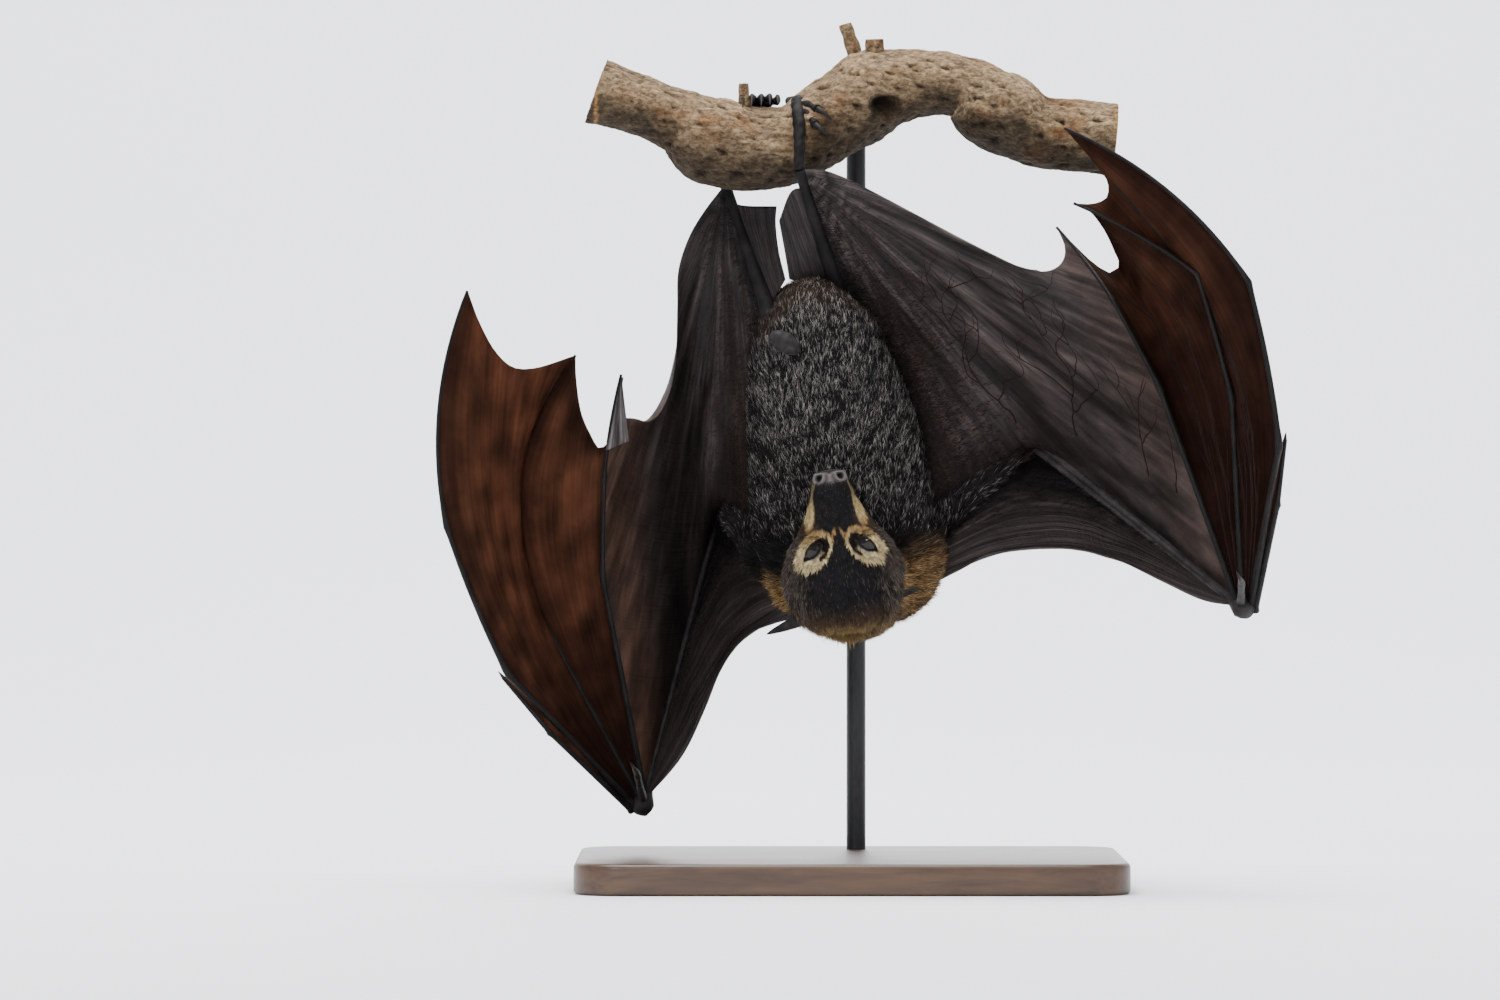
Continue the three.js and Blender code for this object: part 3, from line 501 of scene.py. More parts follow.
# ------------------------------------------------------------------ material tools
class Nodes:
    """Builds one material's node tree in short steps."""

    def __init__(self, name: str) -> None:
        """Starts a material with a Principled shader."""
        self.material = bpy.data.materials.new(name)
        self.material.use_nodes = True
        self.tree = self.material.node_tree
        self.shader = self.tree.nodes["Principled BSDF"]
        self.output = self.tree.nodes["Material Output"]

    def add(self, kind: str, **values: object) -> bpy.types.Node:
        """Adds a node; keyword values set its properties."""
        node = self.tree.nodes.new(kind)
        for key, value in values.items():
            setattr(node, key, value)
        return node

    def link(self, source: bpy.types.NodeSocket, target: bpy.types.NodeSocket) -> None:
        """Joins two sockets."""
        self.tree.links.new(source, target)

    def set(self, **values: object) -> "Nodes":
        """Sets the shader's own sockets, named with underscores for spaces."""
        for key, value in values.items():
            self.shader.inputs[key.replace("_", " ")].default_value = value
        return self

    def attribute(self, name: str) -> bpy.types.NodeSocket:
        """A vertex attribute's colour."""
        return self.add("ShaderNodeAttribute", attribute_name=name).outputs["Color"]

    def mapped(self, scale: Sequence[float], kind: str, socket: str,
               **values: object) -> bpy.types.NodeSocket:
        """One output of a new node, scaled."""
        mapping = self.add("ShaderNodeMapping")
        mapping.inputs["Scale"].default_value = scale
        self.link(self.add(kind, **values).outputs[socket], mapping.inputs["Vector"])
        return mapping.outputs["Vector"]

    def place(self, scale: Sequence[float] = (1, 1, 1)) -> bpy.types.NodeSocket:
        """Object coordinates, scaled."""
        return self.mapped(scale, "ShaderNodeTexCoord", "Object")

    def uv(self, name: str, scale: Sequence[float] = (1, 1, 1)) -> bpy.types.NodeSocket:
        """A UV map's coordinates, scaled."""
        return self.mapped(scale, "ShaderNodeUVMap", "UV", uv_map=name)

    def noise(self, vector: bpy.types.NodeSocket, scale: float, detail: float = 4.0,
              rough: float = 0.55, twist: float = 0.0) -> bpy.types.NodeSocket:
        """A noise pattern's value."""
        node = self.add("ShaderNodeTexNoise")
        for key, number in zip(("Scale", "Detail", "Roughness", "Distortion"),
                               (scale, detail, rough, twist)):
            node.inputs[key].default_value = number
        self.link(vector, node.inputs["Vector"])
        return node.outputs["Fac"]

    def ramp(self, value: bpy.types.NodeSocket,
             stops: Sequence[tuple[float, Color]]) -> bpy.types.NodeSocket:
        """Colours read by a value."""
        node = self.add("ShaderNodeValToRGB")
        elements = node.color_ramp.elements
        while len(elements) < len(stops):
            elements.new(0.5)
        for element, (at, color) in zip(elements, stops):
            element.position = at
            element.color = (*color, 1)
        self.link(value, node.inputs["Fac"])
        return node.outputs["Color"]

    def range(self, value: bpy.types.NodeSocket, low: float, high: float, to_low: float = 0.0,
              to_high: float = 1.0) -> bpy.types.NodeSocket:
        """A value moved from one range to another."""
        node = self.add("ShaderNodeMapRange")
        for key, number in zip(("From Min", "From Max", "To Min", "To Max"),
                               (low, high, to_low, to_high)):
            node.inputs[key].default_value = number
        self.link(value, node.inputs["Value"])
        return node.outputs["Result"]

    def times(self, value: bpy.types.NodeSocket, share: float) -> bpy.types.NodeSocket:
        """A value multiplied by a number."""
        node = self.add("ShaderNodeMath", operation="MULTIPLY")
        self.link(value, node.inputs[0])
        node.inputs[1].default_value = share
        return node.outputs[0]

    def blend(self, a: object, b: object, share: object, how: str = "MIX") -> bpy.types.NodeSocket:
        """Two colours mixed; a, b and share are sockets or plain values."""
        node = self.add("ShaderNodeMix", data_type="RGBA", blend_type=how)
        for socket, value in ((node.inputs[0], share), (node.inputs[6], a), (node.inputs[7], b)):
            if isinstance(value, bpy.types.NodeSocket):
                self.link(value, socket)
            elif isinstance(value, (int, float)):
                socket.default_value = value
            else:
                socket.default_value = (*value, 1)
        return node.outputs[2]

    def bump(self, height: bpy.types.NodeSocket, strength: float, distance: float,
             after: Optional[bpy.types.NodeSocket] = None) -> bpy.types.NodeSocket:
        """A bump from a height, over an earlier bump where one is given."""
        node = self.add("ShaderNodeBump")
        node.inputs["Strength"].default_value = strength
        node.inputs["Distance"].default_value = distance
        self.link(height, node.inputs["Height"])
        if after is not None:
            self.link(after, node.inputs["Normal"])
        return node.outputs["Normal"]

    def wear(self, **sockets: bpy.types.NodeSocket) -> bpy.types.Material:
        """Links sockets to the shader, and returns the finished material."""
        for key, socket in sockets.items():
            self.link(socket, self.shader.inputs[key.replace("_", " ")])
        return self.material


# ------------------------------------------------------------------ the wing's lines
FINGER_JOINTS = {2: (0, 0.62, 1), 3: (0, 0.45, 0.7, 1)}
# Each finger's thickness at its root and tip, its bow, and its place in the wrist's row.
FINGERS = {"digit3": (2.1, 0.7, 0.075, 5.0), "digit5": (1.7, 0.7, 0.02, -1.5),
           "digit4": (1.7, 0.7, 0.03, 1.0), "digit2": (1.6, 1.1, 0.0, 7.5)}
LAST_JOINT = FINGER_JOINTS[3][2]
ELBOW_AT = 0.35
# How far each skin is blown towards the animal's back, in millimetres.
BILLOWS = {"wing_skin": 7, "web_4_5": 4, "web_3_4": 4}
ORIGIN = np.zeros(1)
END = np.ones(1)


def spread(t: Array, path: Path, share: float) -> Array:
    """A finger's line, with its last bone read only up to a share of the whole."""
    last = LAST_JOINT
    return path(np.where(t > last, last + (t - last) * (share - last) / (1 - last), t))


class Wing:
    """The joints, bone lines and skin surfaces of one wing, all worked out from its plan."""

    def __init__(self, side: Side) -> None:
        """Places every joint, then every line and surface."""
        self.side = side
        self.plan = WINGS[side]
        leg = LEGS[side]
        self.shoulder = np.array(self.plan.shoulder, float)
        self.elbow = reach(self.shoulder, FOREARM * SHARES["humerus"], self.plan.humerus)
        self.wrist = reach(self.elbow, FOREARM, self.plan.forearm)
        self.knuckles = {"thumb": self._bones("thumb", 0.0)}
        self.fingers: dict[str, Path] = {}
        for digit, (_, _, bow, base) in FINGERS.items():
            self.knuckles[digit] = self._bones(digit, base)
            self.fingers[digit] = self._finger(self.knuckles[digit], bow)
        self.knee, self.ankle = np.array(leg.knee, float), np.array(leg.ankle, float)
        self.surfaces = {name: relaxed(surface) for name, surface in self._surfaces().items()}
        self.surfaces["tail_skin"] = self._tail(leg)
        if self.plan.fin:
            foot = straight(*self.plan.fin)
            tip = self.knuckles["digit5"][-1]
            self.surfaces["fin"] = lambda u, v: foot(u) + (tip - foot(u)) * (0.96 * v)[:, None]

    def _bones(self, digit: str, base: float) -> list:
        """A finger's joints from its root to its tip."""
        joints = [self.wrist + np.array(self.plan.wrist_row) * base]
        for share, angles in zip(SHARES[digit], getattr(self.plan, digit)):
            joints.append(reach(joints[-1], FOREARM * share, angles))
        return joints

    def _finger(self, knuckles: list, bow: float) -> Path:
        """A finger's line: its bones one after another, the last one bowed outwards."""
        stops = np.array(FINGER_JOINTS[len(knuckles) - 1])
        points = np.array(knuckles)
        turn = np.array((1, 0, -1)) * self.plan.outward

        def line(t: Array) -> Array:
            """Points of the finger."""
            t = np.clip(t, 0, 1)
            i = np.clip(np.searchsorted(stops, t, side="left") - 1, 0, len(stops) - 2)
            part = ((t - stops[i]) / (stops[i + 1] - stops[i]))[:, None]
            chord = points[i + 1] - points[i]
            bend = np.where(i == 0, 0.0, np.where(i < len(stops) - 2, bow / 4, bow))[:, None]
            sag = 4 * bend * part * (1 - part) * chord[:, [2, 1, 0]] * turn
            return points[i] + chord * part + sag

        return line

    def arm_line(self, t: Array) -> Array:
        """The arm from the shoulder over the elbow to the wrist."""
        upper = self.shoulder + (self.elbow - self.shoulder) * (t / ELBOW_AT)[:, None]
        fore = self.elbow + (self.wrist - self.elbow) * ((t - ELBOW_AT) / (1 - ELBOW_AT))[:, None]
        return np.where((t < ELBOW_AT)[:, None], upper, fore)

    def _surfaces(self) -> dict[str, Surface]:
        """The skins between the arm, the fingers, the flank and the leg."""
        plan, finger = self.plan, self.fingers
        flank = smooth_path([self.shoulder, *plan.root,
                             self.knee + (self.ankle - self.knee) * 0.12, self.ankle])
        beside5 = lambda t: spread(t, finger["digit5"], plan.skin_to)
        before5 = lambda t: spread(t, finger["digit5"], plan.web_to)
        tip3, tip4 = self.knuckles["digit3"][-1], self.knuckles["digit4"][-1]
        leg_edge = free_edge(self.ankle, beside5(END)[0], plan.leg_edge)
        tip54 = free_edge(before5(END)[0], tip4, plan.tip54)
        tip43 = free_edge(tip4, tip3, plan.tip43)
        neck_end = np.array(plan.neck_end, float)
        neck_edge = free_edge(neck_end, self.wrist, plan.neck_edge)
        base54 = straight(before5(ORIGIN)[0], finger["digit4"](ORIGIN)[0])
        base43 = straight(finger["digit4"](ORIGIN)[0], finger["digit3"](ORIGIN)[0])
        at_wrist = lambda t: np.repeat(self.wrist[None], len(t), axis=0)
        skins = {
            "wing_skin": coons(flank, beside5, self.arm_line, leg_edge),
            "web_4_5": coons(before5, finger["digit4"], base54, tip54),
            "web_3_4": coons(finger["digit4"], finger["digit3"], base43, tip43),
            "fore_skin": coons(self.arm_line, neck_edge, straight(self.shoulder, neck_end),
                               at_wrist),
            "web_2_3": self._leading_web(),
        }
        return {name: billowed(skin, BILLOWS[name]) if name in BILLOWS else skin
                for name, skin in skins.items()}

    def _leading_web(self) -> Surface:
        """The narrow skin between the second finger and the third one's first bone."""
        second, third = self.fingers["digit2"], self.fingers["digit3"]
        t = np.linspace(0.2, 0.5, 61)
        tip = self.knuckles["digit2"][-1]
        meet = float(t[np.argmin(np.linalg.norm(third(t) - tip, axis=1))])
        beside3 = lambda t: third(t * meet)
        return coons(beside3, second, straight(beside3(ORIGIN)[0], second(ORIGIN)[0]),
                     straight(beside3(END)[0], tip))

    def _tail(self, leg: LegPlan) -> Surface:
        """The narrow skin between the shin and the middle of the rump."""
        beside = lambda t: self.knee + (self.ankle - self.knee) * (0.86 - 0.8 * t)[:, None]
        first, *rest = [np.array(p, float) for p in leg.tail_edge]
        root = np.array(leg.tail_root, float)
        hem = smooth_path([beside(ORIGIN)[0], first, rest[0]])
        return coons(beside, smooth_path([*rest, root]), hem, straight(beside(END)[0], root))


# ------------------------------------------------------------------ the head's own measure
def head_matrix() -> Array:
    """Turns the head's (aside, down, forward) into the frame's axes."""
    (c, s), (k, r) = ((math.cos(a), math.sin(a)) for a in (HEAD_TILT, -HEAD_ROLL))
    about_x = np.array(((1, 0, 0), (0, c, -s), (0, s, c)))
    about_y = np.array(((k, 0, r), (0, 1, 0), (-r, 0, k)))
    return about_y @ about_x


HEAD_TURN = head_matrix()


def from_head(places: Array) -> Array:
    """Points from the head's measure: back from the nose, aside to its left, and up."""
    p = np.atleast_2d(np.asarray(places, float))
    return p[:, [1, 2, 0]] * (1, -1, -1) @ HEAD_TURN.T + NOSE


def to_head(points: Array) -> Array:
    """The head's measure of points: back, aside and up."""
    local = (points - NOSE) @ HEAD_TURN
    return np.stack([-local[:, 2], local[:, 0], -local[:, 1]], axis=1)


def head_way(ways: Array) -> Array:
    """Directions from the head's measure to the frame's axes."""
    w = np.atleast_2d(np.asarray(ways, float))
    return w[:, [1, 2, 0]] * (1, -1, -1) @ HEAD_TURN.T


def face_plane(head: Array) -> tuple[Array, Array]:
    """Where a point of the head stands on a flat front view of the face.

    Args:
        head: Points in the head's measure.
    Returns:
        Distance from the midline, and distance below the nose, in millimetres.
    """
    return np.abs(head[:, 1]), FACE_COS * head[:, 0] + FACE_SIN * head[:, 2]


# ------------------------------------------------------------------ markings
@dataclass(frozen=True)
class Pelage:
    """The coat's colours, as linear light."""

    black: Color = (0.0075, 0.0068, 0.0075)
    soot: Color = (0.022, 0.019, 0.019)
    frost: Color = (0.50, 0.46, 0.42)
    straw: Color = (0.38, 0.285, 0.135)
    pale: Color = (0.54, 0.46, 0.28)
    rust: Color = (0.13, 0.045, 0.014)
    gold: Color = (0.27, 0.150, 0.055)
    orange: Color = (0.095, 0.046, 0.020)
    olive: Color = (0.13, 0.088, 0.036)
    umber: Color = (0.032, 0.018, 0.011)
    grizzle: Color = (0.034, 0.026, 0.023)
    grey_tip: Color = (0.21, 0.165, 0.125)
    brow: Color = (0.26, 0.15, 0.06)
    rim: Color = (0.010, 0.007, 0.006)
    lid: Color = (0.16, 0.14, 0.11)
    crease: Color = (0.014, 0.010, 0.008)
    down: tuple = ((0.028, 0.016, 0.012), (0.020, 0.015, 0.014))


PELAGE = Pelage()
# The stripe beside the muzzle by its distance below the nose: middle, half width, strength.
STRIPE_MIDDLE = ((0, 3, 10, 18, 26, 31), (6.8, 8, 9.7, 11.7, 13.2, 14.0))
STRIPE_HALF = ((2, 8, 14, 19, 24, 27, 30), (0.5, 0.5, 0.8, 1.7, 2.1, 1.9, 0.8))
STRIPE_STRENGTH = ((0, 3, 12, 17, 24, 28, 30), (0, 0.30, 0.34, 0.8, 0.85, 0.6, 0))
# The pale ring round the eye on the face's flat view: middle, half axes and long axis.
RING_MIDDLE, RING_HALF, RING_AXIS = (13.0, 39.4), (12.0, 7.9), (0.62, 0.785)
# The mantle's upper edge in front: height by the distance across.
MANTLE_TOP = ((-50, -20, 10, 30, 60), (157, 158, 164, 176, 178))


def blended(base: Array, color: Color, share: Array) -> Array:
    """Colours with another colour laid over them by a share from 0 to 1."""
    s = np.clip(share, 0, 1)[:, None]
    return base * (1 - s) + np.array(color) * s


def spectacle(head: Array) -> tuple[Array, Array, Array]:
    """The ring round the eye.

    Args:
        head: Places in the head's measure.
    Returns:
        How far each place is out from the ring's middle, where 1 is the ring's outer
        edge, and where it lies along and across the eye's opening.
    """
    aside, below = face_plane(head)
    dx, dy = aside - RING_MIDDLE[0], below - RING_MIDDLE[1]
    ax, ay = RING_AXIS
    out = np.hypot((dx * ax + dy * ay) / RING_HALF[0], (dx * ay - dy * ax) / RING_HALF[1])
    socket = EyeSocket(Side.LEFT)
    along, across, _ = socket.flat(np.stack([head[:, 0], np.abs(head[:, 1]), head[:, 2]],
                                            axis=1) - socket.centre)
    return out, along, across


def face_colors(head: Array, points: Array) -> Array:
    """The head's markings: black face, straw stripes and rings, and a gold nape.

    Args:
        head: Places in the head's measure.
        points: The same places in the frame, for uneven edges.
    Returns:
        A colour for each place.
    """
    aside, below = face_plane(head)
    uneven = ripple(points, 5.0, 3) * 0.8
    colors = np.tile(np.array(PELAGE.black), (len(head), 1))
    stripe_x, stripe_w = np.interp(below, *STRIPE_MIDDLE), np.interp(below, *STRIPE_HALF)
    upper = smoothstep(-6, 1, head[:, 2])
    cheek = smoothstep(7, 12, aside) * smoothstep(14, 24, below) * (1 - smoothstep(29, 36, below))
    colors = blended(colors, PELAGE.umber, 0.8 * cheek * upper)
    grizzled = (smoothstep(17, 24, aside) * smoothstep(24, 34, below)
                * (1 - smoothstep(52, 66, below)))
    colors = blended(colors, PELAGE.grizzle, 0.6 * grizzled)
    stripe = 1 - smoothstep(0.6, 1.4, np.abs(aside - stripe_x + 0.4 * uneven) / stripe_w)
    strong = np.interp(below, *STRIPE_STRENGTH)
    colors = blended(colors, PELAGE.straw, stripe * strong * upper)
    colors = blended(colors, PELAGE.rust,
                     0.5 * stripe * smoothstep(24, 28, below) * upper * (below < 31))
    brow = 1 - smoothstep(0.5, 1.3, np.abs(aside - 1.3 - 0.42 * (below - 29)) / 0.8)
    brow *= smoothstep(28, 30, below) * (1 - smoothstep(38, 42, below))
    colors = blended(colors, PELAGE.brow, 0.75 * brow * upper)
    out, along, across = spectacle(head)
    out = out + 0.03 * uneven
    ring = (1 - smoothstep(0.95, 1.06, out)) * upper
    half = 3.1 * np.maximum(1 - (along / np.where(along < 0, 10.5, 7.4)) ** 2, 0)
    dark = 1 - smoothstep(-0.3, 0.5, np.abs(across) - half)
    inner = (1 - smoothstep(-1.0, 0.5, across)) * (1 - smoothstep(-4.2, -0.6, along))
    pale = ring * (1 - dark) * (1 - inner * (1 - smoothstep(0.83, 0.89, out)))
    colors = blended(colors, PELAGE.rim, ring)
    colors = blended(colors, PELAGE.straw, pale)
    colors = blended(colors, PELAGE.pale, 0.5 * pale * smoothstep(33, 40, below))
    colors = blended(colors, PELAGE.rust, 0.55 * pale * (1 - smoothstep(29, 37, below)))
    lid = np.hypot((along - 1.0) / 4.2, (across + 3.6) / 1.3)
    colors = blended(colors, PELAGE.lid, 0.65 * (1 - smoothstep(0.6, 1.2, lid)) * upper)
    crease = np.hypot((along + 1.2) / 2.9, (across + 6.0) / 1.15)
    colors = blended(colors, PELAGE.crease, (1 - smoothstep(0.7, 1.15, crease)) * upper)
    nape = smoothstep(64, 76, head[:, 0] + 1.2 * uneven + 0.06 * aside)
    colors = blended(colors, PELAGE.umber, nape)
    return blended(colors, PELAGE.olive, 0.85 * smoothstep(74, 82, head[:, 0] + uneven))


def nape_rise(points: Array) -> Array:
    """How much further up the body the mantle reaches on the nape, in millimetres."""
    between = 1 - smoothstep(20, 34, np.abs(points[:, 0] + 3))
    return 26 * smoothstep(8, 24, points[:, 1]) * between


def mantle_colors(points: Array) -> Array:
    """The collar: gold and olive low down, orange-brown at the animal's left, black above."""
    x, z = points[:, 0], points[:, 2]
    side = smoothstep(-20, 22, x + 6 * ripple(points, 16, 8))
    colors = np.array(PELAGE.gold) * (1 - side)[:, None] + np.array(PELAGE.orange) * side[:, None]
    bright = 1 - smoothstep(6, 18, np.hypot(x - 33, (z - 155) * 0.8))
    colors = blended(colors, PELAGE.gold, 0.6 * bright)
    colors = blended(colors, PELAGE.olive,
                     0.8 * (1 - smoothstep(126, 146, z)) * (1 - 0.5 * (x < -15)))
    streak = smoothstep(-0.1, 0.8, ripple(points * (0.4, 1, 1), 4.0, 9))
    colors = blended(colors, PELAGE.umber, 0.75 * streak)
    top = np.interp(x, *MANTLE_TOP)
    top = top + nape_rise(points)
    return blended(colors, PELAGE.black, smoothstep(-9, 7, z - top + 5 * ripple(points, 12, 10)))


def trunk_colors(points: Array) -> Array:
    """The black body, browner on the back and rusty at the rump."""
    colors = np.tile(np.array(PELAGE.black), (len(points), 1))
    rump = smoothstep(282, 306, points[:, 2] + 4 * ripple(points, 18, 12))
    colors = blended(colors, PELAGE.umber, 0.75 * rump)
    back = smoothstep(10, 30, points[:, 1])
    return blended(colors, PELAGE.soot, 0.7 * back)


# ------------------------------------------------------------------ materials
@dataclass(frozen=True)
class HairFinish:
    """Tufts of hair that take their colour from each tuft."""

    roughness: float = 0.72
    specular: float = 0.11
    uneven: float = 0.35

    def material(self, name: str) -> bpy.types.Material:
        """The finish as a material."""
        nodes = Nodes(name).set(Roughness=self.roughness, Specular_IOR_Level=self.specular)
        tone = nodes.attribute(TONE)
        spots = nodes.noise(nodes.place(), 420.0, 3.0)
        light = nodes.ramp(spots, ((0.3, (1 - self.uneven,) * 3), (0.7, (1 + self.uneven,) * 3)))
        return nodes.wear(Base_Color=nodes.blend(tone, light, 1.0, "MULTIPLY"))


@dataclass(frozen=True)
class HideFinish:
    """Bare, finely creased skin that takes its colour from the mesh."""

    roughness: float = 0.56
    grain: float = 1500.0
    depth: float = 0.00018
    specular: float = 0.1

    def material(self, name: str) -> bpy.types.Material:
        """The finish as a material."""
        nodes = Nodes(name).set(Roughness=self.roughness, Specular_IOR_Level=self.specular)
        cells = nodes.add("ShaderNodeTexVoronoi", feature="DISTANCE_TO_EDGE")
        cells.inputs["Scale"].default_value = self.grain
        nodes.link(nodes.place((1, 1, 0.6)), cells.inputs["Vector"])
        blotch = nodes.noise(nodes.place(), 260.0, 5.0)
        shade = nodes.ramp(blotch, ((0.3, (0.7,) * 3), (0.75, (1.35,) * 3)))
        color = nodes.blend(nodes.attribute(TONE), shade, 1.0, "MULTIPLY")
        rough = nodes.range(blotch, 0.3, 0.7, self.roughness - 0.1, self.roughness + 0.14)
        crease = nodes.bump(cells.outputs["Distance"], 0.35, self.depth)
        normal = nodes.bump(blotch, 0.8, self.depth * 3, crease)
        return nodes.wear(Base_Color=color, Roughness=rough, Normal=normal)


@dataclass(frozen=True)
class WebFinish:
    """Wing skin: thin, wrinkled and veined, with light coming through it."""

    through: float = 0.3
    wrinkle: float = 0.0011
    streaks: float = 0.28
    pleats: float = 0.0
    specular: float = 0.2
    glow: Color = (2.9, 2.1, 1.9)

    def material(self, name: str) -> bpy.types.Material:
        """The finish as a material."""
        nodes = Nodes(name).set(Roughness=0.5, Specular_IOR_Level=self.specular)
        tone = nodes.attribute(TONE)
        fan = nodes.noise(nodes.uv(HIDE_MAP, (1, 0.045, 1)), 640.0, 4.0, 0.6, 0.3)
        cross = nodes.noise(nodes.uv(HIDE_MAP, (0.16, 1, 1)), 420.0, 3.0, 0.5, 0.6)
        blotch = nodes.noise(nodes.place(), 60.0, 6.0, 0.6)
        warp = nodes.add("ShaderNodeTexVoronoi", feature="DISTANCE_TO_EDGE")
        warp.inputs["Scale"].default_value = 85.0
        nodes.link(nodes.uv(HIDE_MAP, (1, 0.55, 1)), warp.inputs["Vector"])
        vein = nodes.range(warp.outputs["Distance"], 0.0, 0.035, 1.0, 0.0)
        shade = nodes.ramp(blotch, ((0.3, (0.80,) * 3), (0.72, (1.24,) * 3)))
        color = nodes.blend(tone, shade, 1.0, "MULTIPLY")
        pleat = nodes.noise(nodes.uv(HIDE_MAP, (1, 0.028, 1)), 210.0, 3.0, 0.65, 0.25)
        fold = nodes.ramp(pleat, ((0.40, (1 - self.pleats,) * 3),
                                  (0.60, (1 + 1.3 * self.pleats,) * 3)))
        color = nodes.blend(color, fold, 1.0, "MULTIPLY")
        ridge = nodes.ramp(fan, ((0.42, (1 - self.streaks,) * 3), (0.66, (1 + self.streaks,) * 3)))
        color = nodes.blend(color, ridge, 1.0, "MULTIPLY")
        color = nodes.blend(color, (0.5, 0.42, 0.4), nodes.times(vein, 0.13), "MULTIPLY")
        normal = nodes.bump(pleat, 0.8 * self.pleats, 0.004)
        normal = nodes.bump(fan, 0.55, self.wrinkle, normal)
        normal = nodes.bump(cross, 0.35, self.wrinkle * 0.6, normal)
        normal = nodes.bump(vein, 0.14, 0.0004, normal)
        material = nodes.wear(Base_Color=color, Normal=normal)
        behind = nodes.add("ShaderNodeBsdfTranslucent")
        nodes.link(nodes.blend(color, self.glow, 1.0, "MULTIPLY"), behind.inputs["Color"])
        mixed = nodes.add("ShaderNodeMixShader")
        mixed.inputs[0].default_value = self.through
        nodes.link(nodes.shader.outputs[0], mixed.inputs[1])
        nodes.link(behind.outputs[0], mixed.inputs[2])
        nodes.link(mixed.outputs[0], nodes.output.inputs["Surface"])
        return material


@dataclass(frozen=True)
class HornFinish:
    """Claws: dark horn with fine lines along it."""

    specular: float = 0.08

    def material(self, name: str) -> bpy.types.Material:
        """The finish as a material."""
        nodes = Nodes(name).set(Specular_IOR_Level=self.specular)
        lines = nodes.noise(nodes.place((1, 1, 0.3)), 900.0, 3.0)
        color = nodes.ramp(lines, ((0.3, (0.007, 0.006, 0.006)), (0.75, (0.030, 0.025, 0.023))))
        rough = nodes.range(lines, 0.2, 0.8, 0.34, 0.5)
        return nodes.wear(Base_Color=color, Roughness=rough, Normal=nodes.bump(lines, 0.3, 0.0001))


@dataclass(frozen=True)
class EyeFinish:
    """A wet dark eye whose iris and pupil are told by the mesh."""

    roughness: float = 0.04
    specular: float = 0.26

    def material(self, name: str) -> bpy.types.Material:
        """The finish as a material."""
        nodes = Nodes(name).set(Roughness=self.roughness, Specular_IOR_Level=self.specular)
        fibres = nodes.noise(nodes.place(), 2200.0, 3.0)
        light = nodes.ramp(fibres, ((0.3, (0.6,) * 3), (0.7, (1.4,) * 3)))
        return nodes.wear(Base_Color=nodes.blend(nodes.attribute(TONE), light, 1.0, "MULTIPLY"))


@dataclass(frozen=True)
class BarkFinish:
    """Weathered bark: grey and tan ridges with rusty patches and dark cracks."""

    roughness: float = 0.9
    specular: float = 0.2

    def material(self, name: str) -> bpy.types.Material:
        """The finish as a material."""
        nodes = Nodes(name).set(Roughness=self.roughness, Specular_IOR_Level=self.specular)
        tone = nodes.attribute(TONE)
        grain = nodes.noise(nodes.place((0.55, 1, 1)), 520.0, 8.0, 0.7, 0.4)
        patch = nodes.noise(nodes.place((0.6, 1, 1)), 55.0, 5.0, 0.6)
        color = nodes.ramp(grain, ((0.30, (0.030, 0.020, 0.013)), (0.46, (0.150, 0.102, 0.060)),
                                   (0.60, (0.290, 0.210, 0.125)), (0.8, (0.47, 0.38, 0.26))))
        rusty = nodes.ramp(grain, ((0.3, (0.040, 0.018, 0.008)), (0.7, (0.24, 0.115, 0.045))))
        color = nodes.blend(color, rusty, nodes.range(patch, 0.55, 0.70))
        color = nodes.blend(color, tone, 1.0, "MULTIPLY")
        fine = nodes.noise(nodes.place((0.5, 1, 1)), 1600.0, 6.0, 0.7)
        normal = nodes.bump(grain, 0.9, 0.0016)
        return nodes.wear(Base_Color=color, Normal=nodes.bump(fine, 0.6, 0.0005, normal))


@dataclass(frozen=True)
class StandFinish:
    """The stand's plain finishes: stained wood or satin black steel."""

    light: Color = (0.085, 0.042, 0.020)
    dark: Color = (0.030, 0.014, 0.007)
    roughness: float = 0.38
    grain: tuple = (0.12, 1, 1)
    metallic: float = 0.0
    scale: float = 160.0

    def material(self, name: str) -> bpy.types.Material:
        """The finish as a material."""
        nodes = Nodes(name).set(Metallic=self.metallic)
        lines = nodes.noise(nodes.place(self.grain), self.scale, 5.0, 0.6, 0.8)
        color = nodes.ramp(lines, ((0.3, self.dark), (0.7, self.light)))
        rough = nodes.range(lines, 0.2, 0.8, self.roughness - 0.06, self.roughness + 0.08)
        return nodes.wear(Base_Color=color, Roughness=rough, Normal=nodes.bump(lines, 0.12, 0.0001))


# ------------------------------------------------------------------ the skin
HIDE_BLACK = np.array((0.012, 0.0105, 0.0105))
NOSE_DARK = (0.022, 0.019, 0.020)
NOSE_ASH = (0.13, 0.115, 0.11)
NOSTRIL_DARK = (0.003, 0.003, 0.003)
LIP_DARK = (0.006, 0.005, 0.005)
LID_DARK = (0.010, 0.008, 0.007)
LID_PALE = (0.09, 0.078, 0.070)
LID_EDGE = (0.003, 0.002, 0.002)
EYE_DARK = (0.005, 0.003, 0.002)
EYE_IRIS = (0.010, 0.005, 0.003)
EYE_PUPIL = (0.002, 0.002, 0.002)
FIN_GREY_AND_SHEEN = (0.11, 0.10, 0.098)
FLANK_PAINTED_SHADE = (0.026, 0.018, 0.016)
# The arm skin's grey is partly its own colour and partly a painted sheen of the front light; the
# hand's red is the painted glow of light coming through the skin.
WING_GREY_AND_SHEEN = np.array((0.047, 0.038, 0.036))
WING_DARK = np.array((0.016, 0.012, 0.012))
HAND_PAINTED_GLOW = np.array((0.086, 0.040, 0.023))
HAND_DARK = np.array((0.018, 0.009, 0.007))
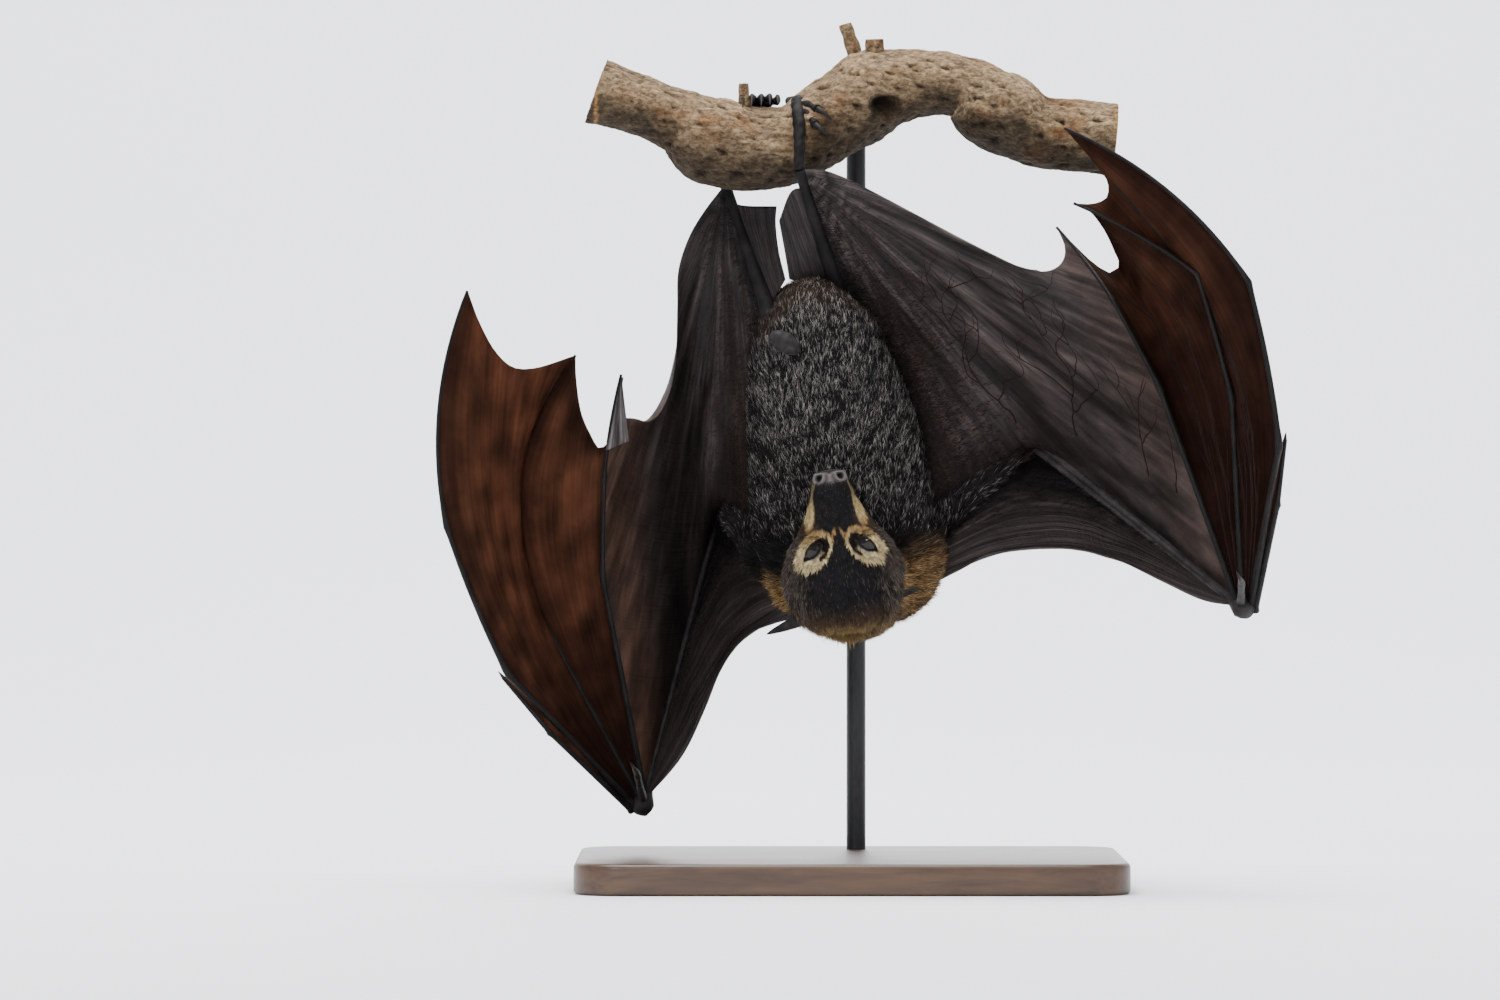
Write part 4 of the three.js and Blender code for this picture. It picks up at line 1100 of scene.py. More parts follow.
# How strongly the hand's skin is painted red, as the glow of light coming through it, and the arm's
# skin pale, as the sheen of the front light, on each side: painted light, stronger on one wing than
# on the other.
WING_PAINTED_LIGHT = {Side.LEFT: (0.36, 1.0), Side.RIGHT: (1.0, 0.42)}

# Trunk: height, centre across, half width, front and back of its middle.
TRUNK_ROWS = np.array([
    (309, -20, 9, 9, 9), (304, -20, 18, 17, 15), (297, -19.5, 26, 24, 22), (286, -17.5, 33, 31, 28),
    (270, -15, 37.5, 35, 31), (249, -11, 43, 38, 35), (224, -7.5, 46.5, 39, 37),
    (198, -4.5, 48.5, 38, 39), (176, -1, 49, 36, 39), (160, 1, 45, 31, 36), (148, 1, 38, 24, 30),
    (139, 0, 26, 15, 22)], float)
NECK_ROWS = np.array([(1, 0, 166, 36), (0, -12, 158, 34), (-1, -26, 155.5, 30.5),
                      (-2, -40, 156.5, 28)], float)


@dataclass(frozen=True)
class CoatDepths:
    """How far the skin lies inside the tips of the coat, in millimetres."""

    trunk: float = 4.4
    neck: float = 6.5
    thigh: float = 4.5
    arm: float = 4.0


@dataclass
class EyeSocket:
    """One eye and the lids round it."""

    side: Side
    radius: float = EYE_RADIUS
    half_length: float = 5.3
    half_width: float = 1.9
    lid: float = 0.6
    raised: float = 0.6
    slant: tuple = (0.77, 0.64)

    @property
    def centre(self) -> Array:
        """The ball's middle in the head's measure."""
        back, aside, up = EYE_PLACE
        return np.array((back, aside * self.side.sign, up))

    def flat(self, offset: Array) -> tuple[Array, Array, Array]:
        """Places from the ball's middle along the opening, across it and out of the face."""
        x = offset[:, 1] * self.side.sign
        y = FACE_COS * offset[:, 0] + FACE_SIN * offset[:, 2] - self.raised
        z = -FACE_SIN * offset[:, 0] + FACE_COS * offset[:, 2]
        ahead, down = self.slant
        return ahead * x + down * y, down * x - ahead * y, z

    def opening(self, offset: Array) -> tuple[Array, Array]:
        """How a place lies to the almond of the lids' opening.

        Args:
            offset: Places from the ball's middle, in the head's measure.
        Returns:
            Distance outside the almond in millimetres (negative inside), and how far
            towards the front of the face.
        """
        along, across, z = self.flat(offset)
        half = self.half_width * np.maximum(1 - (along / self.half_length) ** 2, 0)
        beyond = np.maximum(np.abs(along) - self.half_length, 0)
        return np.hypot(np.maximum(np.abs(across) - half, 0), beyond) - \
            np.maximum(np.minimum(half - np.abs(across), 3), 0), z

    def sculpt(self, head: Array) -> Array:
        """Wraps the lids round the ball, and sinks the skin inside their opening."""
        offset = head - self.centre
        distance = np.linalg.norm(offset, axis=1)
        near = distance < self.radius + 7
        on_lid = offset * np.maximum(1, (self.radius + 0.4) / np.maximum(distance, 1e-6))[:, None]
        out, forward = self.opening(on_lid)
        shown = forward > -2.5
        fold = 0.5 * np.exp(-((out - 2.6) / 0.5) ** 2)
        rim = 0.35 * np.exp(-((out - 0.5) / 0.4) ** 2)
        lid = self.radius + self.lid * (1 - 0.6 * smoothstep(1, 6, out)) + rim - fold
        wanted = np.where(out < 0, self.radius - 1.2, lid)
        raised = np.where(out < 0, wanted, np.maximum(distance, wanted))
        settle = np.where(out < 0, 1.0,
                          1 - smoothstep(self.radius + 0.5, self.radius + 5, distance))
        new = np.where(near & shown, distance + (raised - distance) * settle, distance)
        return self.centre + offset * (new / np.maximum(distance, 1e-6))[:, None]


class HeadForm:
    """The head's bare form: muzzle, nostrils, mouth, lids and brow."""

    nostrils = ((1.6, 4.9, 3.2), (1.6, -5.2, 3.2))

    def __init__(self) -> None:
        """Makes the two eye sockets."""
        self.sockets = [EyeSocket(side) for side in Side]

    def depth(self, back: Array) -> Array:
        """How far the skin lies inside the coat's tips at a distance back from the nose."""
        return np.interp(back, (0, 12, 28, 42, 58, 82), (0.25, 0.7, 1.2, 1.8, 4.0, 6.5))

    def place(self, t: Array, cos: Array, sin: Array) -> Array:
        """Points of the bare head's ovals, in the head's measure."""
        back, half, above, below = read_rows(HEAD_ROWS, t).T
        inset = self.depth(back)
        end = np.where((t > 0.999) & (np.hypot(cos, sin) < 0.5), -3.0, 0.0)
        tall = np.where(sin > 0, above, below)
        return np.stack([back + end, cos * np.maximum(half - inset, 1),
                         sin * np.maximum(tall - inset, 1)], axis=1)

    def sculpt(self, head: Array) -> Array:
        """Carves the face's details."""
        p = head.copy()
        back, aside, up = p.T
        bridge = smoothstep(3, 9, back) * (1 - smoothstep(22, 32, back)) * smoothstep(2, 7, up)
        p[:, 2] -= 0.9 * bridge * smoothstep(2.5, 6.5, np.abs(aside))
        groove = np.exp(-(aside / 0.9) ** 2) * (1 - smoothstep(3, 8, back)) * smoothstep(-5, -1, up)
        p[:, 2] -= 0.9 * groove
        p[:, 0] += 1.3 * groove * (1 - smoothstep(0, 3, back))
        for nostril in self.nostrils:
            offset = p - np.array(nostril)
            offset[:, 1] *= 0.85
            distance = np.linalg.norm(offset * (0.7, 1, 1), axis=1)
            outward_way = unit(np.array((-0.55, 0.75 * np.sign(nostril[1]), 0.45)))
            ring = 0.9 * np.exp(-((distance - 2.9) / 0.9) ** 2)
            pit = 3.2 * (1 - smoothstep(0.9, 2.2, distance))
            p += outward_way * (ring - pit)[:, None]
        lip = -2.2 - back * math.tan(math.radians(7))
        slit = np.exp(-((up - lip) / 0.7) ** 2) * (1 - smoothstep(MOUTH_BACK - 4, MOUTH_BACK, back))
        p[:, 1:] *= (1 - 0.055 * slit)[:, None]
        for socket in self.sockets:
            p = socket.sculpt(p)
        return p

    def colors(self, head: Array, points: Array) -> Array:
        """The bare skin's colours: the coat's markings, and dark lids, nose and lips."""
        colors = face_colors(head, points) * 0.8
        nose = 1 - smoothstep(3.5, 8, head[:, 0])
        colors = blended(colors, NOSE_DARK, nose)
        ashen = np.exp(-(head[:, 1] / 1.6) ** 2) * (1 - smoothstep(4, 7, head[:, 0]))
        for nostril in self.nostrils:
            away = np.linalg.norm(head - nostril, axis=1)
            ashen = np.maximum(ashen, np.exp(-((away - 3.0) / 0.8) ** 2)
                               * (1 - smoothstep(3.5, 6.5, head[:, 0])))
        colors = blended(colors, NOSE_ASH, 0.75 * ashen * smoothstep(-2.5, 0.5, head[:, 2]))
        for nostril in self.nostrils:
            colors = blended(colors, NOSTRIL_DARK,
                             1 - smoothstep(1.4, 2.2, np.linalg.norm(head - nostril, axis=1)))
        lip = -2.2 - head[:, 0] * math.tan(math.radians(7))
        colors = blended(colors, LIP_DARK,
                         np.exp(-((head[:, 2] - lip) / 0.8) ** 2)
                         * (1 - smoothstep(33, 37, head[:, 0])))
        for socket in self.sockets:
            offset = head - socket.centre
            out, forward = socket.opening(offset)
            close = (np.linalg.norm(offset, axis=1) < 12) & (forward > -1.5)
            medial = 1 - smoothstep(-1.6, 0.2, socket.flat(offset)[1])
            colors = blended(colors, LID_DARK, (1 - smoothstep(1.3, 2.0, out)) * close)
            colors = blended(colors, LID_PALE, np.exp(-((out - 1.7) / 0.4) ** 2) * close * medial)
            colors = blended(colors, LID_EDGE, (1 - smoothstep(0.8, 1.2, out)) * close)
        return colors

    def mesh(self) -> bpy.types.Mesh:
        """The head with a finer mesh round its eyes and nose."""
        bm = loft(76, 92, lambda t, c, s: from_head(self.place(t, c, s)))
        for reach_out in (11.0, 7.6):
            where = to_head(np.array([v.co[:] for v in bm.verts]) / MM)
            fine = np.linalg.norm(where - (1, 0, 2), axis=1) < reach_out * 0.9
            for socket in self.sockets:
                fine |= np.linalg.norm(where - socket.centre, axis=1) < reach_out
            edges = [e for e in bm.edges if fine[e.verts[0].index] and fine[e.verts[1].index]]
            bmesh.ops.subdivide_edges(bm, edges=edges, cuts=1, use_grid_fill=True)
            bmesh.ops.triangulate(bm, faces=[f for f in bm.faces if len(f.verts) > 4])
            bm.verts.index_update()
        co = np.array([v.co[:] for v in bm.verts]) / MM
        for vert, p in zip(bm.verts, from_head(self.sculpt(to_head(co))) * MM):
            vert.co = p
        outward(bm)
        mesh = to_mesh("head", bm)
        points = get_points(mesh)
        paint(mesh, self.colors(to_head(points), points))
        return mesh


class Flesh:
    """The trunk, neck, thighs and upper arms, fused into one closed form under the coat."""

    voxel = 2.6
    easing = 6

    def __init__(self, wings: dict, depths: CoatDepths = CoatDepths()) -> None:
        """Keeps the wings, whose joints place the upper arms."""
        self.wings = wings
        self.depths = depths

    def trunk(self, t: Array, cos: Array, sin: Array) -> Array:
        """Points of the trunk."""
        z, x, half, front, back = read_rows(TRUNK_ROWS, t).T
        inset = self.depths.trunk
        deep = np.where(sin > 0, front, back) - inset
        end = np.where(t < 0.5, -1, 1) * inset * (np.abs(t - 0.5) > 0.499)
        return np.stack([x + cos * (half - inset), 2 - sin * deep, z + end], axis=1)

    def forms(self) -> list[bpy.types.Mesh]:
        """The separate forms, before they are fused."""
        neck = smooth_path(NECK_ROWS[:, :3])
        neck_width = lambda t: read_rows(NECK_ROWS, t)[:, 3] - self.depths.neck
        thigh_width = lambda t: 14.5 - 5 * t - self.depths.thigh
        arm_width = lambda t: 14.5 - 8 * t - self.depths.arm * (1 - 0.5 * t)
        made = [to_mesh("trunk", loft(70, 64, self.trunk)),
                to_mesh("neck", tube(neck, neck_width, 24, 48))]
        for side, wing in self.wings.items():
            thigh, upper = straight(LEGS[side].hip, wing.knee), straight(wing.shoulder, wing.elbow)
            made.append(to_mesh("thigh", tube(thigh, thigh_width, 12, 28)))
            made.append(to_mesh("arm", tube(upper, arm_width, 30, 24)))
        return made

    def mesh(self) -> bpy.types.Mesh:
        """The fused form, coloured under the coat."""
        piece = joined("flesh", self.forms())
        fuse = piece.modifiers.new("fuse", "REMESH")
        fuse.mode = "VOXEL"
        fuse.voxel_size = self.voxel * MM
        ease = piece.modifiers.new("ease", "SMOOTH")
        ease.iterations = self.easing
        graph = bpy.context.evaluated_depsgraph_get()
        mesh = bpy.data.meshes.new_from_object(piece.evaluated_get(graph))
        bpy.data.objects.remove(piece)
        mesh.polygons.foreach_set("use_smooth", np.ones(len(mesh.polygons), bool))
        points = get_points(mesh)
        paint(mesh, trunk_colors(points) * 0.7)
        return mesh


class WingSkin:
    """One wing's bones and membranes as closed forms with colours."""

    grids = {"wing_skin": (60, 62), "web_4_5": (18, 60), "web_3_4": (18, 60),
             "fore_skin": (16, 50), "tail_skin": (12, 26), "web_2_3": (4, 34), "fin": (6, 26)}
    thick, fin_thick = 0.5, 1.4

    def __init__(self, wing: Wing) -> None:
        """Keeps the wing's lines."""
        self.wing = wing

    def bone(self, name: str, path: Path, radius: Callable[[Array], Array], rings: int, around: int,
             color: Array) -> bpy.types.Mesh:
        """A bare limb with its colour."""
        mesh = to_mesh(name, tube(path, radius, rings, around))
        return toned(mesh, color, 1 + 0.3 * ripple(get_points(mesh), 14, 21))

    def bones(self) -> list[bpy.types.Mesh]:
        """The forearm with its wrist, the fingers, the thumb and the shin."""
        wing = self.wing
        end = wing.wrist + unit(wing.wrist - wing.elbow) * 6.5
        knot = lambda t: (2.9 * np.exp(-((t - 0.972) / 0.022) ** 2)
                          + 0.8 * np.exp(-((t - 0.945) / 0.012) ** 2))
        forearm = lambda t: 3.1 + 2.6 * (1 - t) ** 2 + 1.0 * np.exp(-(t / 0.035) ** 2) + knot(t)
        # Painted light and shade: the forearm and its tendons are painted lighter on the left wing
        # and darker on the right one, and the tendons a further 1.7 times lighter as a painted
        # highlight on their ridges.
        lit = 2.3 if wing.side is Side.LEFT else 0.9
        made = [self.bone("forearm", straight(wing.elbow, end), forearm, 64, 16, HIDE_BLACK * lit)]
        lean = unit(np.cross(wing.wrist - wing.elbow, (0.0, -1.0, 0.0)))
        for share, depth, thick in ((0.9, -0.8, 1.5), (-0.75, -0.95, 1.3), (0.05, -1.15, 1.6)):
            offset = lean * share + np.array((0.0, depth, 0.0))
            line = lambda t: (straight(wing.elbow, wing.wrist)(0.02 + 0.95 * t)
                              + offset * (4.6 - 2.6 * t)[:, None])
            made.append(self.bone("tendon_painted_highlight", line, lambda t: thick * (1.3 - 0.7 * t), 36, 8,
                                  HIDE_BLACK * lit * 1.7))
        for digit, (thick, tip, _, _) in FINGERS.items():
            joints = np.array(FINGER_JOINTS[len(wing.knuckles[digit]) - 1][:-1])

            def radius(t: Array) -> Array:
                """The finger's thickness, swollen at each joint."""
                swell = sum(np.exp(-((t - j) / 0.014) ** 2) for j in joints)
                return thick + (tip - thick) * t + 0.75 * swell * (1 - 0.4 * t)

            made.append(self.bone(digit, wing.fingers[digit], radius, 64, 8, HIDE_BLACK * 0.7))
        thumb = lambda t: 2.5 - 1.1 * t + 0.4 * np.exp(-((t - 0.85) / 0.1) ** 2)
        shin = lambda t: 2.7 + 2.6 * (1 - t) ** 2 + 0.4 * smoothstep(0.93, 1, t)
        shin_line = straight(wing.knee, wing.ankle)
        ridge = lambda t: shin_line(0.04 + 0.94 * t) + np.outer(3.4 - 1.7 * t, (0.35, -0.9, 0.1))
        # The last number of each is how light its dark skin is painted; the shin's ridge is painted
        # 5.5 times lighter, a painted highlight along the shin.
        for name, path, width, rings, around, lit in (
                ("thumb", straight(*wing.knuckles["thumb"]), thumb, 24, 12, 1.0),
                ("shin", shin_line, shin, 50, 16, 0.7),
                ("shin_ridge_painted_highlight", ridge, lambda t: 0.9 - 0.2 * t, 50, 10, 5.5)):
            made.append(self.bone(name, path, width, rings, around, HIDE_BLACK * lit))
        return made

    def tones(self, name: str, u: Array, v: Array, points: Array) -> Array:
        """A membrane's colours at places given by the surface's own measure."""
        if name == "fin":
            # The fold's grey bands are partly the paler back of the skin and partly a painted
            # sheen.
            return blended(np.tile(WING_DARK, (len(u), 1)), FIN_GREY_AND_SHEEN,
                           0.5 + 0.5 * np.sin(9 * u + 3 * v))
        painted_glow, painted_sheen = WING_PAINTED_LIGHT[self.wing.side]
        if name.startswith("web"):
            # Painted glow: the red is light coming through the thin skin, painted in; it grows
            # outwards from the hand's base and fades to the skin's own dark beside the fingers and
            # at the free edge of web_4_5.
            red = (0.62 + 0.42 * ripple(points, 17, 31)) * painted_glow
            full = painted_glow > 0.9
            grown = smoothstep(0.08, 0.55, v) if full else smoothstep(0.3, 0.85, v) * 1.3
            colors = blended(np.tile(HAND_DARK, (len(u), 1)), HAND_PAINTED_GLOW, red * grown)
            colors = blended(colors, HAND_DARK,
                             0.8 * smoothstep(0.86, 0.97, v) * (name == "web_4_5"))
            return blended(colors, HAND_DARK,
                           0.75 * (1 - smoothstep(0.02, 0.14, np.minimum(u, 1 - u))))
        # Painted sheen: the pale grey share is partly the skin's own grey and partly the front
        # light's sheen painted in, and it is weaker on the tail's skin.
        patchy = ((0.62 + 0.16 * ripple(points, 30, 33)) * painted_sheen
                  * (0.3 if name == "tail_skin" else 1.0))
        colors = blended(np.tile(WING_DARK, (len(u), 1)), WING_GREY_AND_SHEEN, patchy)
        if name == "wing_skin":
            # Painted glow: the outer part of the arm's skin next to the fifth finger takes the
            # hand's painted red glow.
            hand = smoothstep(0.72, 0.98, u)
            colors = blended(colors, HAND_PAINTED_GLOW * 0.8, 0.55 * hand * painted_glow)
            # Painted shade: the skin beside the flank and the arm is painted darker, as the shade
            # between the wing and the body.
            flank = ((1 - smoothstep(0.05, 0.4, u + 0.06 * ripple(points, 9, 34)))
                     * (1 - smoothstep(0.4, 0.8, v)))
            colors = blended(colors, FLANK_PAINTED_SHADE, 0.75 * flank)
            # Painted light and shade: the pleats from the ankle are painted lighter on their crests
            # and darker in their troughs.
            folds, near = self.folds(points)
            colors = colors * (1 + near * np.clip(1.3 * folds, -0.7, 1.5))[:, None]
        return colors

    def folds(self, points: Array) -> tuple[Array, Array]:
        """The pleats that fan out from the ankle, and how strong they are."""
        away = points - self.wing.ankle
        angle = np.arctan2(away[:, 2], away[:, 0])
        wave = np.sin(angle * 34 + 2.0 * ripple(points, 60, 41)) + 0.4 * np.sin(angle * 61 + 1.0)
        return wave / 1.2, np.exp(-np.linalg.norm(away, axis=1) / 110)

    def relief(self, name: str, u: Array, v: Array, points: Array) -> Array:
        """How far a membrane is raised off its middle surface, in millimetres."""
        inside = np.sin(math.pi * u) ** 0.5 * np.sin(math.pi * v) ** 0.5
        if name == "wing_skin":
            folds, near = self.folds(points)
            pleated = (np.minimum(12 * np.minimum(u, 1 - u), 1)
                       * np.minimum(14 * np.minimum(v, 1 - v), 1))
            return 1.7 * folds * near * pleated + 0.5 * inside * ripple(points, 26, 42)
        if name == "fin":
            return 0.3 * np.sin(12 * u)
        if name == "fore_skin":
            return inside * 0.5 * np.sin(26 * v + 3 * u + 1.5 * ripple(points, 30, 43))
        inside = inside * (1 - smoothstep(0.8, 0.95, v))
        waves = 0.35 * np.sin(u * 18 + 2 * ripple(points, 40, 44))
        return inside * (waves + 0.4 * ripple(points, 18, 45))

    def raised(self, name: str, u: Array, v: Array) -> tuple[Array, Array]:
        """Places of a membrane with its folds, and the way it faces there."""
        surface = self.wing.surfaces[name]
        points, step = surface(u, v), 0.014
        ua, ub = np.clip(u - step, 0, 1), np.clip(u + step, 0, 1)
        va, vb = np.clip(v - step, 0, 1), np.clip(v + step, 0, 1)
        normal = unit(np.cross(surface(ub, v) - surface(ua, v), surface(u, vb) - surface(u, va)))
        return points + normal * self.relief(name, u, v, points)[:, None], normal

    def vein(self, name: str, start: Array, heading: float, length: float, radius: float,
             rng: np.random.Generator) -> tuple[list[bpy.types.Mesh], Array]:
        """One wandering vein on a membrane.

        Args:
            name: The membrane.
            start: Where it starts, in the membrane's own measure.
            heading: Its first direction there, as an angle from straight outwards.
            length: How far it runs, as a share of the membrane.
            radius: Its thickness at its start, in millimetres.
            rng: The random source.
        Returns:
            Its mesh in a list, empty if it is too short, and its stops.
        """
        stops, turn = [np.array(start, float)], heading
        for _ in range(24):
            turn = 0.93 * turn + rng.normal(0, 0.16)
            step = np.array((math.sin(turn) * 1.6, math.cos(turn))) * length / 24
            after = stops[-1] + step
            if not (0.04 < after[0] < 0.96 and 0.01 < after[1] < 0.97):
                break
            stops.append(after)
        stops = np.array(stops)
        if len(stops) < 5:
            return [], stops
        path = smooth_path(self.raised(name, stops[:, 0], stops[:, 1])[0])
        width = lambda t: radius * (1 - 0.55 * t)
        mesh = to_mesh("vein", tube(path, width, max(len(stops), 10), 4))
        return [toned(mesh, HAND_DARK * 0.75, np.ones(len(mesh.vertices)))], stops

    def veins(self) -> list[bpy.types.Mesh]:
        """The dark branching veins of the hand's membranes, and a few on the arm's."""
        rng = np.random.default_rng(70 + self.wing.side.sign)
        made = []
        plans = {"web_4_5": (0.35, 0.62), "web_3_4": (0.3, 0.55, 0.75),
                 "wing_skin": (0.35, 0.55, 0.8, 0.9)}
        for name, places in plans.items():
            arm = name == "wing_skin"
            for place in places:
                start, length = ((place, 0.2), 0.55) if arm else ((place, 0.03), 0.9)
                trunk, stops = self.vein(name, start, rng.normal(0, 0.15), length, 0.46, rng)
                made += trunk
                for k in range(4, len(stops) - 2, 3):
                    side = 1 if (k // 3) % 2 else -1
                    twig, inner = self.vein(name, stops[k], side * rng.uniform(0.5, 0.9),
                                            rng.uniform(0.16, 0.3), 0.36, rng)
                    made += twig
                    if len(inner) > 8:
                        middle = inner[len(inner) // 2]
                        made += self.vein(name, middle, -side * 0.6, 0.12, 0.3, rng)[0]
        return made

    def sheet(self, name: str) -> bpy.types.Mesh:
        """A membrane: a grid on its surface, raised into folds and given a thickness."""
        columns, rows = self.grids[name]
        bm = bmesh.new()
        bmesh.ops.create_grid(bm, x_segments=columns, y_segments=rows, size=0.5)
        co = np.array([v.co[:] for v in bm.verts])
        u, v = np.clip(co[:, 0] + 0.5, 0, 1), np.clip(co[:, 1] + 0.5, 0, 1)
        if name == "fore_skin":
            v = v * 0.985
        points, _ = self.raised(name, u, v)
        for vert, p in zip(bm.verts, points * MM):
            vert.co = p
        if name == "wing_skin":
            away = points - self.wing.ankle
            hide = np.stack([np.arctan2(away[:, 2], away[:, 0]) * 70, np.linalg.norm(away, axis=1)],
                            axis=1) * MM
        else:
            hide = np.stack([u * 40, v * 120], axis=1) * MM
        layer = bm.loops.layers.uv.new(HIDE_MAP)
        bm.verts.index_update()
        for face in bm.faces:
            for corner in face.loops:
                corner[layer].uv = hide[corner.vert.index]
        tone = bm.verts.layers.float_color.new(TONE)
        for vert, color in zip(bm.verts, self.tones(name, u, v, points)):
            vert[tone] = (*color, 1)
        bm.normal_update()
        bmesh.ops.solidify(bm, geom=bm.faces[:],
                           thickness=(self.fin_thick if name == "fin" else self.thick) * MM)
        outward(bm)
        return to_mesh(name, bm)

    def sheets(self) -> list[bpy.types.Mesh]:
        """Every membrane of the wing, and of the leg beside it."""
        return [self.sheet(name) for name in self.grids if name in self.wing.surfaces]


# ------------------------------------------------------------------ feet, claws, ears
class Foot:
    """One bare foot: a short sole, five toes over the branch and their hooked claws."""

    claw_radius = 1.8
    claw_apart = 1.3

    def __init__(self, side: Side) -> None:
        """Keeps the leg's plan."""
        self.side = side
        self.plan = LEGS[side]
        self.knuckles = np.array(self.plan.knuckles, float)

    def flesh(self) -> list[bpy.types.Mesh]:
        """The sole and the toes."""
        sole = smooth_path([self.plan.ankle, *self.plan.foot, self.plan.knuckles])
        broad = lambda t: 2.7 + 0.9 * t - 0.2 * np.sin(t * 40)
        thin = lambda t: 2.3 - 0.3 * t + 0.4 * np.sin(t * 14)
        made = [to_mesh("sole", tube(sole, broad, 40, 20, 0.8))]
        for toe in self.plan.toes:
            made.append(to_mesh("toe", tube(straight(self.knuckles, toe), thin, 30, 12)))
        return [toned(mesh, HIDE_BLACK * 0.6, 1 + 0.8 * ripple(get_points(mesh), 3.5, 51))
                for mesh in made]

    def claws(self) -> list[bpy.types.Mesh]:
        """The hooked claws, deeper than they are wide."""
        made = []
        for toe, tip in zip(self.plan.toes, self.plan.tips):
            end, tip = np.array(toe, float), np.array(tip, float)
            root = end + unit(end - self.knuckles) * (self.claw_apart - 1.0)
            made.append(claw(root, tip, branch_middle(root[0]), self.claw_radius))
        return made


def branch_middle(across: float) -> Array:
    """The middle of the branch at a distance across."""
    return np.array((across, 0, np.interp(across, BRANCH[:, 0], BRANCH[:, 1])))


def claw(root: Array, tip: Array, hook: Array, radius: float) -> bpy.types.Mesh:
    """A hooked claw from its root to its tip, bent away from a point under its hook."""
    middle = root + (tip - root) * 0.45
    middle = middle + unit(middle - hook) * np.linalg.norm(tip - root) * 0.2
    path = smooth_path([root, middle, tip])
    return to_mesh("claw", tube(path, lambda t: radius * (1 - 0.9 * t ** 1.15), 24, 14))


def ear(side: Side) -> bpy.types.Mesh:
    """A bare, pointed, cupped ear."""
    base, tip = EARS[side]
    foot, end = from_head(base)[0], from_head(tip)[0]
    ahead = unit(end - foot)
    across = unit(np.cross(from_head((1, 0, 0))[0] - from_head((0, 0, 0))[0], ahead))
    broad = np.cross(ahead, across)

    def place(t: Array, cos: Array, sin: Array) -> Array:
        """Points of the ear's leaf."""
        half = (3.6 if side is Side.RIGHT else 2.2) * (1 - t) ** 0.8 * (1 + 0.5 * t) + 0.3
        cup = 2.6 * (cos ** 2 - 0.5) * (1 - t) + 0.25 * np.sin(cos * 9) * (1 - t)
        thick = 0.9 - 0.45 * t
        return (foot + (end - foot) * t[:, None] + broad * (cos * half)[:, None]
                + across * (sin * thick + cup)[:, None])

    mesh = to_mesh("ear", loft(26, 30, place))
    return toned(mesh, HIDE_BLACK * 1.1, 1 + 0.3 * ripple(get_points(mesh), 6, 61))


def sheath() -> bpy.types.Mesh:
    """The small bare pod below the belly."""
    c, s = math.cos(SHEATH_LEAN), math.sin(SHEATH_LEAN)
    turn = np.array(((c, 0, s), (0, 1, 0), (-s, 0, c)))

    def place(t: Array, cos: Array, sin: Array) -> Array:
        """Points of the pod."""
        x = 2 * t - 1
        r = np.sqrt(np.maximum(1 - (0.985 * x) ** 2, 0)) * (1 + 0.035 * np.sin(26 * t))
        return np.stack([x, cos * r, sin * r], axis=1) * SHEATH_HALF @ turn.T + SHEATH_MIDDLE

    mesh = to_mesh("sheath", loft(40, 28, place))
    return toned(mesh, HIDE_BLACK * 1.7, 1 + 0.4 * ripple(get_points(mesh), 5, 62))


class Eye:
    """One dark eyeball with a slightly raised cornea, an iris and a black pupil."""

    gaze = (-0.50, 0.56, 0.66)

    def __init__(self, side: Side) -> None:
        """Works out where the eye looks."""
        self.side = side
        self.centre = from_head(EyeSocket(side).centre)[0]
        self.ahead = unit(head_way((self.gaze[0], self.gaze[1] * side.sign, self.gaze[2])))[0]

    def build(self, material: bpy.types.Material) -> bpy.types.Object:
        """The eyeball as an object."""
        bm = bmesh.new()
        bmesh.ops.create_uvsphere(bm, u_segments=56, v_segments=40, radius=1.0)
        turn = Vector((0, 0, 1)).rotation_difference(Vector(self.ahead)).to_matrix()
        co = np.array([v.co[:] for v in bm.verts])
        away = np.degrees(np.arccos(np.clip(co[:, 2], -1, 1)))
        size = EYE_RADIUS + 0.35 * (1 - smoothstep(20, 42, away))
        colors = np.tile(EYE_DARK, (len(co), 1))
        colors = blended(colors, EYE_IRIS, 1 - smoothstep(38, 52, away))
        colors = blended(colors, EYE_DARK, smoothstep(36, 46, away))
        colors = blended(colors, EYE_PUPIL, 1 - smoothstep(20, 24, away))
        for vert, r in zip(bm.verts, size):
            vert.co = Vector(self.centre * MM) + turn @ (vert.co * r * MM)
        outward(bm)
        mesh = to_mesh(f"eyeball_{self.side.value}", bm)
        paint(mesh, colors)
        piece = to_object(mesh.name, mesh)
        mesh.materials.append(material)
        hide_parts(f"eye_{self.side.value}")
        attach(piece, "root")
        return piece


# ------------------------------------------------------------------ coat
@dataclass(frozen=True)
class Tufts:
    """How one part of the coat grows: number, size and how it lies."""

    name: str
    count: int
    segments: int
    width: float
    clump: float
    gather: float
    stray: float
    seed: int
    root_dark: float = 0.45
    patchy: float = 0.36


@dataclass
class Growth:
    """Where the tufts of one part stand and how each lies; all in millimetres."""

    roots: Array
    normals: Array
    flows: Array
    length: Array
    rise: Array
    color: Array
    tip_color: Array
    unwrap: Array
    thick: Array = field(default_factory=lambda: np.ones(1))


